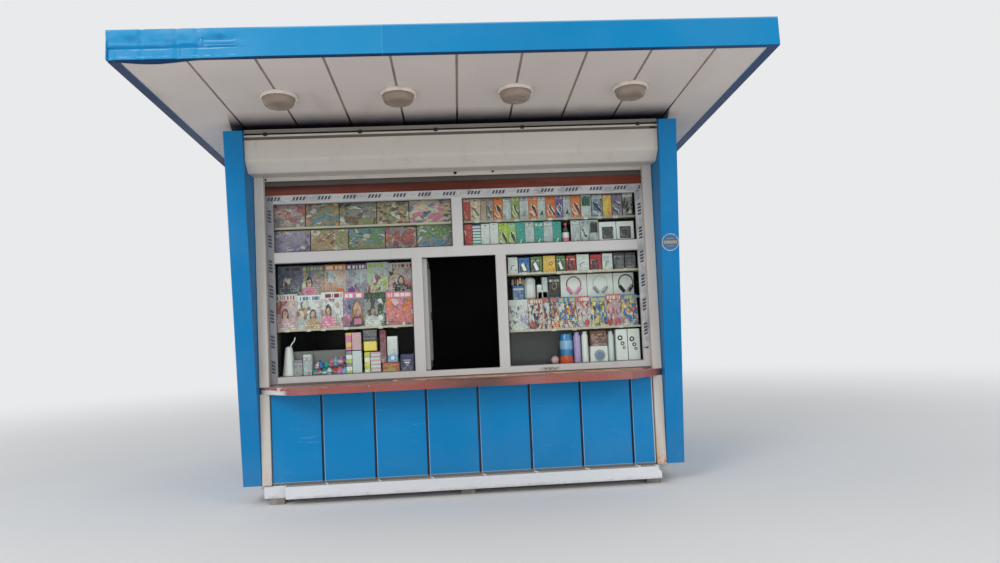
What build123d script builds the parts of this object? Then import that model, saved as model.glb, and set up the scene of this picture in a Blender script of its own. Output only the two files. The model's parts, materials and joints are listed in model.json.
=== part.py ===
"""Street kiosk with a sloping canopy, a glazed sales front and a sales counter.

Millimetres. X runs along the front, Y from the street to the rear, Z up.
The origin lies on the ground, under the middle of the canopy.
"""
import os
from math import atan2, cos, degrees, radians, sin, sqrt, tan

from build123d import *

# Body: side walls, depth and floor
inner_width = 3200
wall_thickness = 140
body_depth = 2400
feet_height = 50
foot_width = 110
foot_inset = 110
beam_height = 95
beam_depth = 120
front_beam_left_gap = 14
front_beam_right_gap = 62
side_beam_width = 100
side_beam_setback = 330
floor_thickness = 60
floor_bearing = 20
wall_foot_height = 155

# Side walls lean forward past the window plane as fins
fin_reach_bottom = 50
fin_reach_top = 335
fin_top_height = 2875
cladding_pitch = 410
groove_width = 10
groove_depth = 12

# Canopy: a flat box that rises towards the street
soffit_height = 2911
canopy_pitch = 4.3
front_overhang = 1500
rear_overhang = 90
side_overhang = 330
fascia_height = 190
fascia_sheet = 6
fascia_flange = 65
fascia_front_flange = 38
fascia_front_hollow = 26
fascia_lip = 40
soffit_thickness = 12
soffit_gap = 16
soffit_seam_offset = 30
seams_from_centre = 4
deck_thickness = 15
rafter_width = 60
roof_seam_width = 14
roof_seam_height = 12
roof_seam_setback = 85

# Lamps under the canopy
lamp_reach = 850
lamp_base_radius = 120
lamp_base_height = 24
lamp_base_lip = 14
lamp_base_step = 9
lamp_glass_radius = 104
lamp_glass_height = 62
lamp_glass_taper = 22
lamp_glass_round = 32

# Window: frame of plastic bars, with the service opening in the middle
window_depth = 60
window_sill_height = 935
window_head_height = 2430
jamb_width = 50
sill_bar_height = 45
head_bar_height = 65
bar_width = 80
transom_bottom = 1890
service_half_width = 297
glass_thickness = 6
glass_setback = 25
sash_thickness = 50
sash_bar = 48
sash_clearance = 5
sash_lap = 15
bead_base = 6
bead_face = 2
bead_setback = 4

# Front wall around the window
front_wall_thickness = 70
panel_depth = 30
panel_bottom = 165
panel_gap = 12
panel_head_gap = 3
panel_fold_radius = 4
first_panel_seam = 394
lintel_height = 75
lintel_thickness = 18
lintel_setback = 10

# Roller shutter
guide_width = 75
guide_depth = 50
guide_slot_width = 16
guide_slot_depth = 45
guide_side_clearance = 3
guide_edge_radius = 4
box_depth = 280
box_bottom = 2570
box_height = 243
box_chamfer = 85
box_round = 40
box_cap = 8
box_cap_lip = 3
end_slat_height = 60
end_slat_drop = 30
end_slat_thickness = 14
end_slat_clearance = 3
rail_depth = 22
rail_foot_height = 22
rail_foot_setback = 6
rail_strip_height = 16
rail_gap = 15
rail_gap_depth = 12
rail_top_height = 27
rail_clip_width = 26
rail_clip_shares = (-0.90, -0.45, -0.087, 0.334, 0.904)

# Sales counter
counter_top = 915
counter_thickness = 55
counter_reach = 270
counter_end_slant = 285
counter_end_return = 22
counter_end_clearance = 10
counter_edge_radius = 6
wear_strip_length = 2000
wear_strip_end_gap = 82
wear_strip_width = 70
wear_strip_thickness = 9

# Sill cover along the foot of the front
cover_reach = 60
cover_sheet = 5
cover_lip = 20
cover_left_gap = 190
cover_right_gap = 58
cover_snip = 45

# Display rack behind the glass
rack_depth = 230
rack_board = 16
rack_side_clearance = 20
rack_top_height = 2400
upper_shelf_height = 2165
middle_shelf_height = 1925
left_shelf_height = 1340
right_high_shelf_height = 1722
right_low_shelf_height = 1255
bottom_shelf_height = 960
step_depth = 110
left_step_height = 1600
right_step_height = 1500

# Rear door
door_width = 850
door_height = 2000
door_side_margin = 275
door_frame_width = 50
door_leaf_thickness = 45
door_gap = 4
door_field_margin = 110
door_field_sink = 5
hinge_radius = 9
hinge_length = 110
knob_radius = 27
knob_neck_radius = 11
knob_reach = 62
knob_height = 1000

# Values worked out from the sizes above
pitch = radians(canopy_pitch)
body_half = inner_width / 2 + wall_thickness
room_half = inner_width / 2
canopy_half = body_half + side_overhang
canopy_length = (front_overhang + body_depth + rear_overhang) / cos(pitch)
canopy_depth = canopy_length * cos(pitch) + fascia_height * sin(pitch)
canopy_front = fascia_sheet * sin(pitch) - canopy_depth / 2
window_y = canopy_front + front_overhang
rear_face = window_y + body_depth
front_wall_back = window_y + front_wall_thickness
beam_top = feet_height + beam_height
floor_top = beam_top + floor_thickness
panel_top = counter_top - counter_thickness - panel_head_gap
side_beam_x = room_half + side_beam_width / 2
front_beam_y = window_y - panel_depth


def soffit_z(y):
    """Height of the canopy's underside at depth y."""
    return soffit_height - tan(pitch) * (y - window_y)


def front_plane(y):
    """Upright plane across the front at depth y; it extrudes towards the street."""
    return Plane.XZ.offset(-y)


def side_plane(x):
    """Upright plane from front to rear at x; it extrudes towards +X."""
    return Plane.YZ.offset(x)


roof_plane = Plane(
    origin=(0, canopy_front, soffit_z(canopy_front)),
    x_dir=(1, 0, 0),
    z_dir=(0, sin(pitch), cos(pitch)),
)


def save(piece, name):
    """Label a finished piece and write it to its own file."""
    piece.part.label = name
    export_step(piece.part, f"parts/{name}.step")


os.makedirs("parts", exist_ok=True)

# Feet: pads under the corners and the middles of the base frame
foot_rows = [front_beam_y + beam_depth / 2, rear_face - beam_depth / 2]
foot_columns = [-room_half + foot_inset, 0, room_half - foot_inset]
foot_places = [(x, y) for y in foot_rows for x in foot_columns]
foot_places += [(side * side_beam_x, window_y + body_depth / 2) for side in (-1, 1)]
with BuildPart() as feet:
    with BuildSketch():
        with Locations(*foot_places):
            Rectangle(foot_width, foot_width)
    extrude(amount=feet_height)
save(feet, "feet")

# Base frame: steel beams under the front, the rear and the side walls, set back behind the fins
with BuildPart() as base_beam_front:
    with BuildSketch(side_plane(-room_half + front_beam_left_gap)):
        with Locations((front_beam_y, feet_height)):
            Rectangle(beam_depth, beam_height, align=(Align.MIN, Align.MIN))
    extrude(amount=inner_width - front_beam_left_gap - front_beam_right_gap)
save(base_beam_front, "base_beam_front")

with BuildPart() as base_beam_rear:
    with BuildSketch(side_plane(-room_half)):
        with Locations((rear_face, feet_height)):
            Rectangle(beam_depth, beam_height, align=(Align.MAX, Align.MIN))
    extrude(amount=inner_width)
save(base_beam_rear, "base_beam_rear")

with BuildPart() as base_beams_side:
    with BuildSketch(front_plane(rear_face)):
        with Locations((-side_beam_x, feet_height), (side_beam_x, feet_height)):
            Rectangle(side_beam_width, wall_foot_height - feet_height, align=(Align.CENTER, Align.MIN))
    extrude(amount=body_depth - side_beam_setback)
save(base_beams_side, "base_beams_side")

# Floor: it bears on the front and rear beams, between the side walls
floor_front = front_beam_y + beam_depth - floor_bearing
floor_rear = rear_face - beam_depth + floor_bearing
with BuildPart() as floor:
    with BuildSketch(side_plane(-room_half)):
        with Locations((floor_front, beam_top)):
            Rectangle(floor_rear - floor_front, floor_thickness, align=(Align.MIN, Align.MIN))
    extrude(amount=inner_width)
save(floor, "floor")

# Side walls: the front edge leans forward past the window plane
wall_outline = [
    (window_y - fin_reach_bottom, wall_foot_height),
    (rear_face, wall_foot_height),
    (rear_face, soffit_z(rear_face)),
    (window_y, soffit_z(window_y)),
    (window_y, fin_top_height),
    (window_y - fin_reach_top, fin_top_height),
]
side_groove_count = int((body_depth - cladding_pitch / 2) // cladding_pitch)
side_grooves = [window_y + cladding_pitch * (i + 1) for i in range(side_groove_count)]
for name, inner_x, outward in (("left_wall", -room_half, -1), ("right_wall", room_half, 1)):
    with BuildPart() as side_wall:
        with BuildSketch(side_plane(inner_x)):
            with BuildLine():
                Polyline(*wall_outline, close=True)
            make_face()
        extrude(amount=outward * wall_thickness)
        with BuildSketch(side_plane(inner_x + outward * wall_thickness)):
            with Locations(*[(y, soffit_height / 2) for y in side_grooves]):
                Rectangle(groove_width, soffit_height)
        extrude(amount=-outward * groove_depth, mode=Mode.SUBTRACT)
    save(side_wall, name)

# Rear wall: beside and over the door
door_right = room_half - door_side_margin
door_left = door_right - door_width
door_centre = (door_left + door_right) / 2
door_top = floor_top + door_height
rear_groove_count = int(inner_width // cladding_pitch)
rear_grooves = [-room_half + cladding_pitch * (i + 1) for i in range(rear_groove_count)]
rear_pieces = (
    ("rear_wall_left", -room_half, door_left, beam_top),
    ("rear_wall_right", door_right, room_half, beam_top),
    ("rear_wall_over_door", door_left, door_right, door_top),
)
for name, x_from, x_to, foot in rear_pieces:
    with BuildPart() as rear_wall:
        with BuildSketch(side_plane(x_from)):
            with BuildLine():
                Polyline(
                    (floor_rear, foot),
                    (rear_face, foot),
                    (rear_face, soffit_z(rear_face)),
                    (floor_rear, soffit_z(floor_rear)),
                    close=True,
                )
            make_face()
        extrude(amount=x_to - x_from)
        own_grooves = [x for x in rear_grooves if x_from + groove_width < x < x_to - groove_width]
        if own_grooves:
            with BuildSketch(front_plane(rear_face)):
                with Locations(*[(x, soffit_height / 2) for x in own_grooves]):
                    Rectangle(groove_width, soffit_height)
            extrude(amount=groove_depth, mode=Mode.SUBTRACT)
    save(rear_wall, name)

# Rear door: frame, closed leaf, hinge barrels and knob
with BuildPart() as door_frame:
    with BuildSketch(front_plane(rear_face)):
        with Locations((door_centre, floor_top)):
            Rectangle(door_width, door_height, align=(Align.CENTER, Align.MIN))
            Rectangle(
                door_width - 2 * door_frame_width,
                door_height - door_frame_width,
                align=(Align.CENTER, Align.MIN),
                mode=Mode.SUBTRACT,
            )
    extrude(amount=rear_face - floor_rear)
save(door_frame, "door_frame")

leaf_width = door_width - 2 * door_frame_width - 2 * door_gap
leaf_height = door_height - door_frame_width - 2 * door_gap
field_height = (leaf_height - 3 * door_field_margin) / 2
with BuildPart() as door_leaf:
    with BuildSketch(front_plane(rear_face)):
        with Locations((door_centre, floor_top + door_gap)):
            Rectangle(leaf_width, leaf_height, align=(Align.CENTER, Align.MIN))
    extrude(amount=door_leaf_thickness)
    with BuildSketch(front_plane(rear_face)):
        with Locations((door_centre, floor_top + door_gap + leaf_height / 2)):
            with GridLocations(leaf_width, field_height + door_field_margin, 1, 2):
                Rectangle(leaf_width - 2 * door_field_margin, field_height)
    extrude(amount=door_field_sink, mode=Mode.SUBTRACT)
save(door_leaf, "door_leaf")

hinge_x = door_centre - door_width / 2 + door_frame_width + door_gap / 2
hinge_heights = [floor_top + door_height * share for share in (0.12, 0.5, 0.88)]
knob_x = door_centre + leaf_width / 2 - door_frame_width
knob_z = floor_top + knob_height
with BuildPart() as door_fittings:
    for hinge_z in hinge_heights:
        with BuildSketch(Plane.XY.offset(hinge_z - hinge_length / 2)):
            with Locations((hinge_x, rear_face + hinge_radius)):
                Circle(hinge_radius)
        extrude(amount=hinge_length)
    with BuildSketch(side_plane(knob_x)):
        with BuildLine():
            Polyline(
                (rear_face, knob_z),
                (rear_face, knob_z + knob_neck_radius),
                (rear_face + knob_reach / 2, knob_z + knob_neck_radius),
                (rear_face + knob_reach / 2, knob_z + knob_radius),
                (rear_face + knob_reach, knob_z + knob_radius),
                (rear_face + knob_reach, knob_z),
                close=True,
            )
        make_face()
    revolve(axis=Axis((knob_x, rear_face, knob_z), (0, 1, 0)))
save(door_fittings, "door_fittings")

# Front wall below the window, with its row of blue panels
with BuildPart() as apron_wall:
    with BuildSketch(side_plane(-room_half)):
        with Locations((window_y, beam_top)):
            Rectangle(
                front_wall_thickness,
                window_sill_height - beam_top,
                align=(Align.MIN, Align.MIN),
            )
    extrude(amount=inner_width)
save(apron_wall, "apron_wall")

post_inner = room_half - guide_side_clearance - guide_width
panel_edges = [-post_inner]
next_edge = -post_inner + first_panel_seam
while next_edge < post_inner - panel_gap:
    panel_edges.append(next_edge)
    next_edge += cladding_pitch
panel_edges.append(post_inner)
with BuildPart() as apron_panels:
    with BuildSketch(front_plane(window_y)):
        for start, end in zip(panel_edges, panel_edges[1:]):
            with Locations(((start + end) / 2, panel_bottom)):
                Rectangle(
                    end - start - panel_gap,
                    panel_top - panel_bottom,
                    align=(Align.CENTER, Align.MIN),
                )
    extrude(amount=panel_depth)
    fillet(apron_panels.edges().filter_by(Axis.Z).group_by(Axis.Y)[0], panel_fold_radius)
save(apron_panels, "apron_panels")

with BuildPart() as corner_posts:
    with BuildSketch(Plane.XY.offset(wall_foot_height)):
        with Locations((-post_inner - guide_width / 2, window_y), (post_inner + guide_width / 2, window_y)):
            Rectangle(guide_width, guide_depth, align=(Align.CENTER, Align.MAX))
    extrude(amount=counter_top - counter_thickness - wall_foot_height)
    fillet(corner_posts.edges().filter_by(Axis.Z).group_by(Axis.Y)[0], guide_edge_radius)
save(corner_posts, "corner_posts")

# Sill cover: a folded sheet along the foot of the front
cover_front = front_beam_y - cover_reach
cover_left = -room_half + cover_left_gap
cover_right = room_half - cover_right_gap
with BuildPart() as sill_cover:
    with BuildSketch(side_plane(cover_left)):
        with BuildLine():
            Polyline(
                (front_beam_y, beam_top),
                (cover_front, beam_top),
                (cover_front, feet_height),
                (cover_front + cover_lip, feet_height),
                (cover_front + cover_lip, feet_height + cover_sheet),
                (cover_front + cover_sheet, feet_height + cover_sheet),
                (cover_front + cover_sheet, beam_top - cover_sheet),
                (front_beam_y, beam_top - cover_sheet),
                close=True,
            )
        make_face()
    extrude(amount=cover_right - cover_left)
    with BuildSketch(front_plane(front_beam_y)):
        with Locations((cover_right, beam_top)):
            Rectangle(cover_snip * sqrt(2), cover_snip * sqrt(2), rotation=45)
    extrude(amount=cover_reach, mode=Mode.SUBTRACT)
save(sill_cover, "sill_cover")

# Counter: a thick board with slanted ends and a rounded upper edge
counter_half = room_half - counter_end_clearance
counter_half_front = counter_half - counter_end_slant
with BuildPart() as counter:
    with BuildSketch(Plane.XY.offset(counter_top - counter_thickness)):
        with BuildLine():
            Polyline(
                (-counter_half, window_y),
                (counter_half, window_y),
                (counter_half, window_y - counter_end_return),
                (counter_half_front, window_y - counter_reach),
                (-counter_half_front, window_y - counter_reach),
                (-counter_half, window_y - counter_end_return),
                close=True,
            )
        make_face()
    extrude(amount=counter_thickness)
    top_edges = counter.faces().sort_by(Axis.Z)[-1].edges()
    worn_edges = [edge for edge in top_edges if edge.center().Y < window_y - counter_end_return]
    fillet(worn_edges, counter_edge_radius)
save(counter, "counter")

with BuildPart() as wear_strip:
    with BuildSketch(Plane.XY.offset(counter_top)):
        with Locations((post_inner - wear_strip_end_gap, window_y)):
            Rectangle(wear_strip_length, wear_strip_width, align=(Align.MAX, Align.MAX))
    extrude(amount=wear_strip_thickness)
save(wear_strip, "wear_strip")

# Header wall above the window and the painted board under it
header_bottom = window_head_height + lintel_height
with BuildPart() as header_wall:
    with BuildSketch(side_plane(-room_half)):
        with BuildLine():
            Polyline(
                (window_y, header_bottom),
                (front_wall_back, header_bottom),
                (front_wall_back, soffit_z(front_wall_back)),
                (window_y, soffit_z(window_y)),
                close=True,
            )
        make_face()
    extrude(amount=inner_width)
save(header_wall, "header_wall")

with BuildPart() as lintel_board:
    with BuildSketch(side_plane(-post_inner)):
        with Locations((window_y + lintel_setback, window_head_height)):
            Rectangle(lintel_thickness, lintel_height, align=(Align.MIN, Align.MIN))
    extrude(amount=2 * post_inner)
save(lintel_board, "lintel_board")

# Window frame: jambs, head and sill bars, transom and mullions
glass_bottom = window_sill_height + sill_bar_height
glass_top = window_head_height - head_bar_height
transom_top = transom_bottom + bar_width
glass_half = post_inner - jamb_width
window_back = window_y + window_depth
with BuildPart() as window_jambs:
    with BuildSketch(front_plane(window_back)):
        with Locations((-post_inner, window_sill_height)):
            Rectangle(jamb_width, window_head_height - window_sill_height, align=(Align.MIN, Align.MIN))
        with Locations((post_inner, window_sill_height)):
            Rectangle(jamb_width, window_head_height - window_sill_height, align=(Align.MAX, Align.MIN))
    extrude(amount=window_depth)
save(window_jambs, "window_jambs")

with BuildPart() as window_rails:
    with BuildSketch(front_plane(window_back)):
        with Locations((0, window_sill_height)):
            Rectangle(2 * glass_half, sill_bar_height, align=(Align.CENTER, Align.MIN))
        with Locations((0, window_head_height)):
            Rectangle(2 * glass_half, head_bar_height, align=(Align.CENTER, Align.MAX))
    extrude(amount=window_depth)
save(window_rails, "window_rails")

with BuildPart() as window_transom:
    with BuildSketch(front_plane(window_back)):
        with Locations((0, transom_bottom)):
            Rectangle(2 * glass_half, bar_width, align=(Align.CENTER, Align.MIN))
    extrude(amount=window_depth)
save(window_transom, "window_transom")

mullion_x = service_half_width + bar_width / 2
with BuildPart() as window_mullions:
    with BuildSketch(front_plane(window_back)):
        with Locations((0, transom_top)):
            Rectangle(bar_width, glass_top - transom_top, align=(Align.CENTER, Align.MIN))
        with Locations((-mullion_x, glass_bottom), (mullion_x, glass_bottom)):
            Rectangle(bar_width, transom_bottom - glass_bottom, align=(Align.CENTER, Align.MIN))
    extrude(amount=window_depth)
save(window_mullions, "window_mullions")

# Glass: two panes above the transom, one each side of the service opening.
# A sloping bead runs round each pane, from the glass to near the frame's front face.
glass_front = window_y + glass_setback
pane_inner = mullion_x + bar_width / 2
bead_depth = glass_setback - bead_setback
bead_slope = degrees(atan2(bead_base - bead_face, bead_depth))
pane_rows = (
    ("upper", bar_width / 2, transom_top, glass_top),
    ("lower", pane_inner, glass_bottom, transom_bottom),
)
for row, inner_edge, pane_foot, pane_head in pane_rows:
    pane_width = glass_half - inner_edge
    pane_height = pane_head - pane_foot
    pane_places = [(side * (inner_edge + pane_width / 2), pane_foot + pane_height / 2) for side in (-1, 1)]
    with BuildPart() as panes:
        with BuildSketch(front_plane(glass_front + glass_thickness)):
            with Locations(*pane_places):
                Rectangle(pane_width, pane_height)
        extrude(amount=glass_thickness)
    save(panes, f"glass_{row}")

    with BuildPart() as beads:
        with BuildSketch(front_plane(glass_front)):
            with Locations(*pane_places):
                Rectangle(pane_width, pane_height)
        extrude(amount=bead_depth)
        with BuildSketch(front_plane(glass_front)):
            with Locations(*pane_places):
                Rectangle(pane_width - 2 * bead_base, pane_height - 2 * bead_base)
        extrude(amount=bead_depth, taper=-bead_slope, mode=Mode.SUBTRACT)
    save(beads, f"beads_{row}")

# Service sash: swung fully inward on its left edge
sash_width = 2 * service_half_width - 2 * sash_clearance
sash_bottom = glass_bottom + sash_clearance
sash_height = transom_bottom - glass_bottom - 2 * sash_clearance
sash_x = -service_half_width - sash_lap
with BuildPart() as service_sash:
    with BuildSketch(side_plane(sash_x)):
        with Locations((window_back, sash_bottom)):
            Rectangle(sash_width, sash_height, align=(Align.MIN, Align.MIN))
        with Locations((window_back + sash_bar, sash_bottom + sash_bar)):
            Rectangle(
                sash_width - 2 * sash_bar,
                sash_height - 2 * sash_bar,
                align=(Align.MIN, Align.MIN),
                mode=Mode.SUBTRACT,
            )
    extrude(amount=sash_thickness)
save(service_sash, "service_sash")

with BuildPart() as service_glass:
    with BuildSketch(side_plane(sash_x + (sash_thickness - glass_thickness) / 2)):
        with Locations((window_back + sash_bar, sash_bottom + sash_bar)):
            Rectangle(sash_width - 2 * sash_bar, sash_height - 2 * sash_bar, align=(Align.MIN, Align.MIN))
    extrude(amount=glass_thickness)
save(service_glass, "service_glass")

# Shutter guides: posts with a slot for the curtain
slot_back = window_y - guide_depth / 2 + guide_slot_width / 2
with BuildPart() as shutter_guides:
    with BuildSketch(Plane.XY.offset(counter_top)):
        for side in (-1, 1):
            with Locations((side * (post_inner + guide_width / 2), window_y)):
                Rectangle(guide_width, guide_depth, align=(Align.CENTER, Align.MAX))
            with Locations((side * (post_inner + guide_slot_depth / 2), slot_back)):
                Rectangle(
                    guide_slot_depth,
                    guide_slot_width,
                    align=(Align.CENTER, Align.MAX),
                    mode=Mode.SUBTRACT,
                )
    extrude(amount=box_bottom - counter_top)
    fillet(shutter_guides.edges().filter_by(Axis.Z).group_by(Axis.Y)[0], guide_edge_radius)
save(shutter_guides, "shutter_guides")

# Shutter box: a folded housing with a rounded lower front and end caps
box_half = room_half - guide_side_clearance
box_top = box_bottom + box_height
box_front = window_y - box_depth
box_slices = (
    (-box_half, 2 * box_half, 0),
    (-box_half, box_cap, box_cap_lip),
    (box_half - box_cap, box_cap, box_cap_lip),
)
with BuildPart() as shutter_box:
    for slice_x, slice_length, grow in box_slices:
        with BuildSketch(side_plane(slice_x)) as section:
            with BuildLine():
                Polyline(
                    (window_y, box_bottom),
                    (box_front + box_chamfer - grow, box_bottom),
                    (box_front - grow, box_bottom + box_chamfer - grow),
                    (box_front - grow, box_top),
                    (window_y, box_top),
                    close=True,
                )
            make_face()
            front_points = [point for point in section.vertices() if point.X < window_y]
            fillet([point for point in front_points if point.Y < box_top], box_round)
        extrude(amount=slice_length)
    with BuildSketch(Plane.XY.offset(box_bottom)):
        with Locations((0, slot_back)):
            Rectangle(2 * post_inner, guide_slot_width, align=(Align.CENTER, Align.MAX))
    extrude(amount=end_slat_height - end_slat_drop, mode=Mode.SUBTRACT)
save(shutter_box, "shutter_box")

with BuildPart() as shutter_end_slat:
    with BuildSketch(Plane.XY.offset(box_bottom - end_slat_drop)):
        with Locations((0, window_y - guide_depth / 2)):
            Rectangle(2 * (post_inner - end_slat_clearance), end_slat_thickness)
    extrude(amount=end_slat_height)
save(shutter_end_slat, "shutter_end_slat")

# Rail on top of the shutter box, between the fins: two strips with a gap that holds the clips
strip_bottom = box_top + rail_foot_height
gap_bottom = strip_bottom + rail_strip_height
gap_top = gap_bottom + rail_gap
with BuildPart() as awning_rail:
    with BuildSketch(side_plane(-room_half)):
        with BuildLine():
            Polyline(
                (box_front + rail_foot_setback, box_top),
                (box_front + rail_depth, box_top),
                (box_front + rail_depth, gap_top + rail_top_height),
                (box_front, gap_top + rail_top_height),
                (box_front, gap_top),
                (box_front + rail_gap_depth, gap_top),
                (box_front + rail_gap_depth, gap_bottom),
                (box_front, gap_bottom),
                (box_front, strip_bottom),
                (box_front + rail_foot_setback, strip_bottom),
                close=True,
            )
        make_face()
    extrude(amount=inner_width)
save(awning_rail, "awning_rail")

with BuildPart() as rail_clips:
    with BuildSketch(Plane.XY.offset(gap_bottom)):
        with Locations(*[(share * room_half, box_front) for share in rail_clip_shares]):
            Rectangle(rail_clip_width, rail_gap_depth, align=(Align.CENTER, Align.MIN))
    extrude(amount=rail_gap)
save(rail_clips, "rail_clips")

# Canopy: rafters between the soffit and the deck
deck_top = fascia_height - 2 * fascia_sheet
rafter_height = deck_top - deck_thickness - soffit_thickness
seam_numbers = range(-seams_from_centre, seams_from_centre + 1)
soffit_seams = [soffit_seam_offset + cladding_pitch * number for number in seam_numbers]
inside_length = canopy_length - 2 * fascia_sheet
filling_length = canopy_length - fascia_front_hollow - fascia_sheet
inside_half = canopy_half - fascia_sheet
with BuildPart() as roof_beams:
    with BuildSketch(roof_plane.offset(soffit_thickness)):
        with Locations(*[(x, fascia_front_hollow) for x in soffit_seams[::2]]):
            Rectangle(rafter_width, filling_length, align=(Align.CENTER, Align.MIN))
    extrude(amount=rafter_height)
save(roof_beams, "roof_beams")

# Roof deck with standing seams, inside the canopy's edges
with BuildPart() as roof_deck:
    with BuildSketch(roof_plane.offset(soffit_thickness + rafter_height)):
        with Locations((0, fascia_front_hollow)):
            Rectangle(2 * inside_half, filling_length, align=(Align.CENTER, Align.MIN))
    extrude(amount=deck_thickness)
    with BuildSketch(roof_plane.offset(deck_top)):
        with Locations(*[(x, roof_seam_setback) for x in soffit_seams]):
            Rectangle(
                roof_seam_width,
                canopy_length - 2 * roof_seam_setback,
                align=(Align.CENTER, Align.MIN),
            )
    extrude(amount=roof_seam_height)
save(roof_deck, "roof_deck")

# Soffit: long panels from front to rear with open joints
soffit_edges = [-inside_half - soffit_gap / 2, *soffit_seams, inside_half + soffit_gap / 2]
with BuildPart() as soffit_panels:
    with BuildSketch(roof_plane):
        for start, end in zip(soffit_edges, soffit_edges[1:]):
            with Locations(((start + end) / 2, fascia_front_hollow)):
                Rectangle(
                    end - start - soffit_gap, filling_length, align=(Align.CENTER, Align.MIN)
                )
    extrude(amount=soffit_thickness)
save(soffit_panels, "soffit_panels")


def fascia_profile(web, lip):
    """Section of a folded edge, opening inward from its outer face at the origin."""
    return [
        (0, -fascia_sheet),
        (web, -fascia_sheet),
        (web, 0),
        (fascia_sheet, 0),
        (fascia_sheet, deck_top),
        (lip, deck_top),
        (lip, deck_top + fascia_sheet),
        (0, deck_top + fascia_sheet),
    ]


# Front and rear edges of the canopy, over the full width
end_edges = (
    ("fascia_front", 0, 1, fascia_front_flange),
    ("fascia_rear", canopy_length, -1, fascia_flange),
)
for name, edge_y, inward, flange in end_edges:
    edge_origin = roof_plane.from_local_coords(Vector(-canopy_half, edge_y, 0))
    edge_plane = Plane(origin=edge_origin, x_dir=roof_plane.y_dir * inward, z_dir=(inward, 0, 0))
    with BuildPart() as fascia_end:
        with BuildSketch(edge_plane):
            with BuildLine():
                Polyline(*fascia_profile(flange, fascia_lip), close=True)
            make_face()
        extrude(amount=inward * 2 * canopy_half)
    save(fascia_end, name)

# Side edges, between the front and rear ones
for name, side in (("fascia_left", -1), ("fascia_right", 1)):
    with BuildPart() as fascia_side:
        with BuildSketch(roof_plane.offset(-fascia_sheet)):
            with Locations((side * canopy_half, fascia_front_flange)):
                Rectangle(
                    fascia_flange,
                    canopy_length - fascia_front_flange - fascia_flange,
                    align=(Align.MIN if side < 0 else Align.MAX, Align.MIN),
                )
        extrude(amount=fascia_sheet)
        with BuildSketch(roof_plane):
            with Locations((side * canopy_half, fascia_sheet)):
                Rectangle(
                    fascia_sheet,
                    inside_length,
                    align=(Align.MIN if side < 0 else Align.MAX, Align.MIN),
                )
        extrude(amount=deck_top)
        with BuildSketch(roof_plane.offset(deck_top)):
            with Locations((side * canopy_half, fascia_lip)):
                Rectangle(
                    fascia_lip,
                    canopy_length - 2 * fascia_lip,
                    align=(Align.MIN if side < 0 else Align.MAX, Align.MIN),
                )
        extrude(amount=fascia_sheet)
    save(fascia_side, name)

# Lamps: a stepped base ring and a domed bowl under every second seam
lamp_places = [(x, (front_overhang - lamp_reach) / cos(pitch)) for x in soffit_seams[1::2]]
with BuildPart() as lamp_bases:
    with BuildSketch(roof_plane):
        with Locations(*lamp_places):
            Circle(lamp_base_radius)
    extrude(amount=-lamp_base_lip)
    with BuildSketch(roof_plane.offset(-lamp_base_lip)):
        with Locations(*lamp_places):
            Circle(lamp_base_radius - lamp_base_step)
    extrude(amount=lamp_base_lip - lamp_base_height)
save(lamp_bases, "lamp_bases")

with BuildPart() as lamp_glasses:
    with BuildSketch(roof_plane.offset(-lamp_base_height)):
        with Locations(*lamp_places):
            Circle(lamp_glass_radius)
    extrude(amount=-lamp_glass_height, taper=lamp_glass_taper)
    bowl_rims = lamp_glasses.edges().filter_by(GeomType.CIRCLE).group_by(SortBy.RADIUS)[0]
    fillet(bowl_rims, lamp_glass_round)
save(lamp_glasses, "lamp_glasses")

# Display rack: side boards that stand on the floor, and the shelves between them
rack_back = front_wall_back + rack_depth
rack_outer = room_half - rack_side_clearance
rack_inner = pane_inner
floor_boards = [
    (-rack_outer, rack_top_height),
    (-rack_inner, middle_shelf_height),
    (rack_inner - rack_board, middle_shelf_height),
    (rack_outer - rack_board, rack_top_height),
]
with BuildPart() as rack_sides:
    for board_x, board_top in floor_boards:
        with BuildSketch(side_plane(board_x)):
            with Locations((front_wall_back, floor_top)):
                Rectangle(rack_depth, board_top - floor_top, align=(Align.MIN, Align.MIN))
        extrude(amount=rack_board)
    with BuildSketch(side_plane(-rack_board / 2)):
        with Locations((front_wall_back, middle_shelf_height + rack_board)):
            Rectangle(
                rack_depth,
                rack_top_height - middle_shelf_height - rack_board,
                align=(Align.MIN, Align.MIN),
            )
    extrude(amount=rack_board)
save(rack_sides, "rack_sides")

# Two narrower steps stand in the rear of the rack, for the second tiers of goods
shelf_reach = rack_outer - rack_board
shelf_spans = (
    (-shelf_reach, -rack_board / 2, upper_shelf_height, rack_depth),
    (rack_board / 2, shelf_reach, upper_shelf_height, rack_depth),
    (-shelf_reach, shelf_reach, middle_shelf_height, rack_depth),
    (-shelf_reach, -rack_inner, left_step_height, step_depth),
    (-shelf_reach, -rack_inner, left_shelf_height, rack_depth),
    (rack_inner, shelf_reach, right_high_shelf_height, rack_depth),
    (rack_inner, shelf_reach, right_step_height, step_depth),
    (rack_inner, shelf_reach, right_low_shelf_height, rack_depth),
    (-shelf_reach, -rack_inner, bottom_shelf_height, rack_depth),
    (rack_inner, shelf_reach, bottom_shelf_height, rack_depth),
)
with BuildPart() as rack_shelves:
    for x_from, x_to, height, depth in shelf_spans:
        with BuildSketch(side_plane(x_from)):
            with Locations((rack_back, height)):
                Rectangle(depth, rack_board, align=(Align.MAX, Align.MIN))
        extrude(amount=x_to - x_from)
save(rack_shelves, "rack_shelves")
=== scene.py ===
"""Looks of the street kiosk: finishes for its parts, and the goods, films, fixings and fittings on them.

Metres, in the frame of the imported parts: X along the front, Y from the street to the rear, Z up.
"""
import json
import math
import random
from functools import cached_property
from itertools import product

import bmesh
import bpy
from bpy.props import FloatProperty, FloatVectorProperty, PointerProperty
from mathutils import Matrix, Vector, noise


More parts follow.
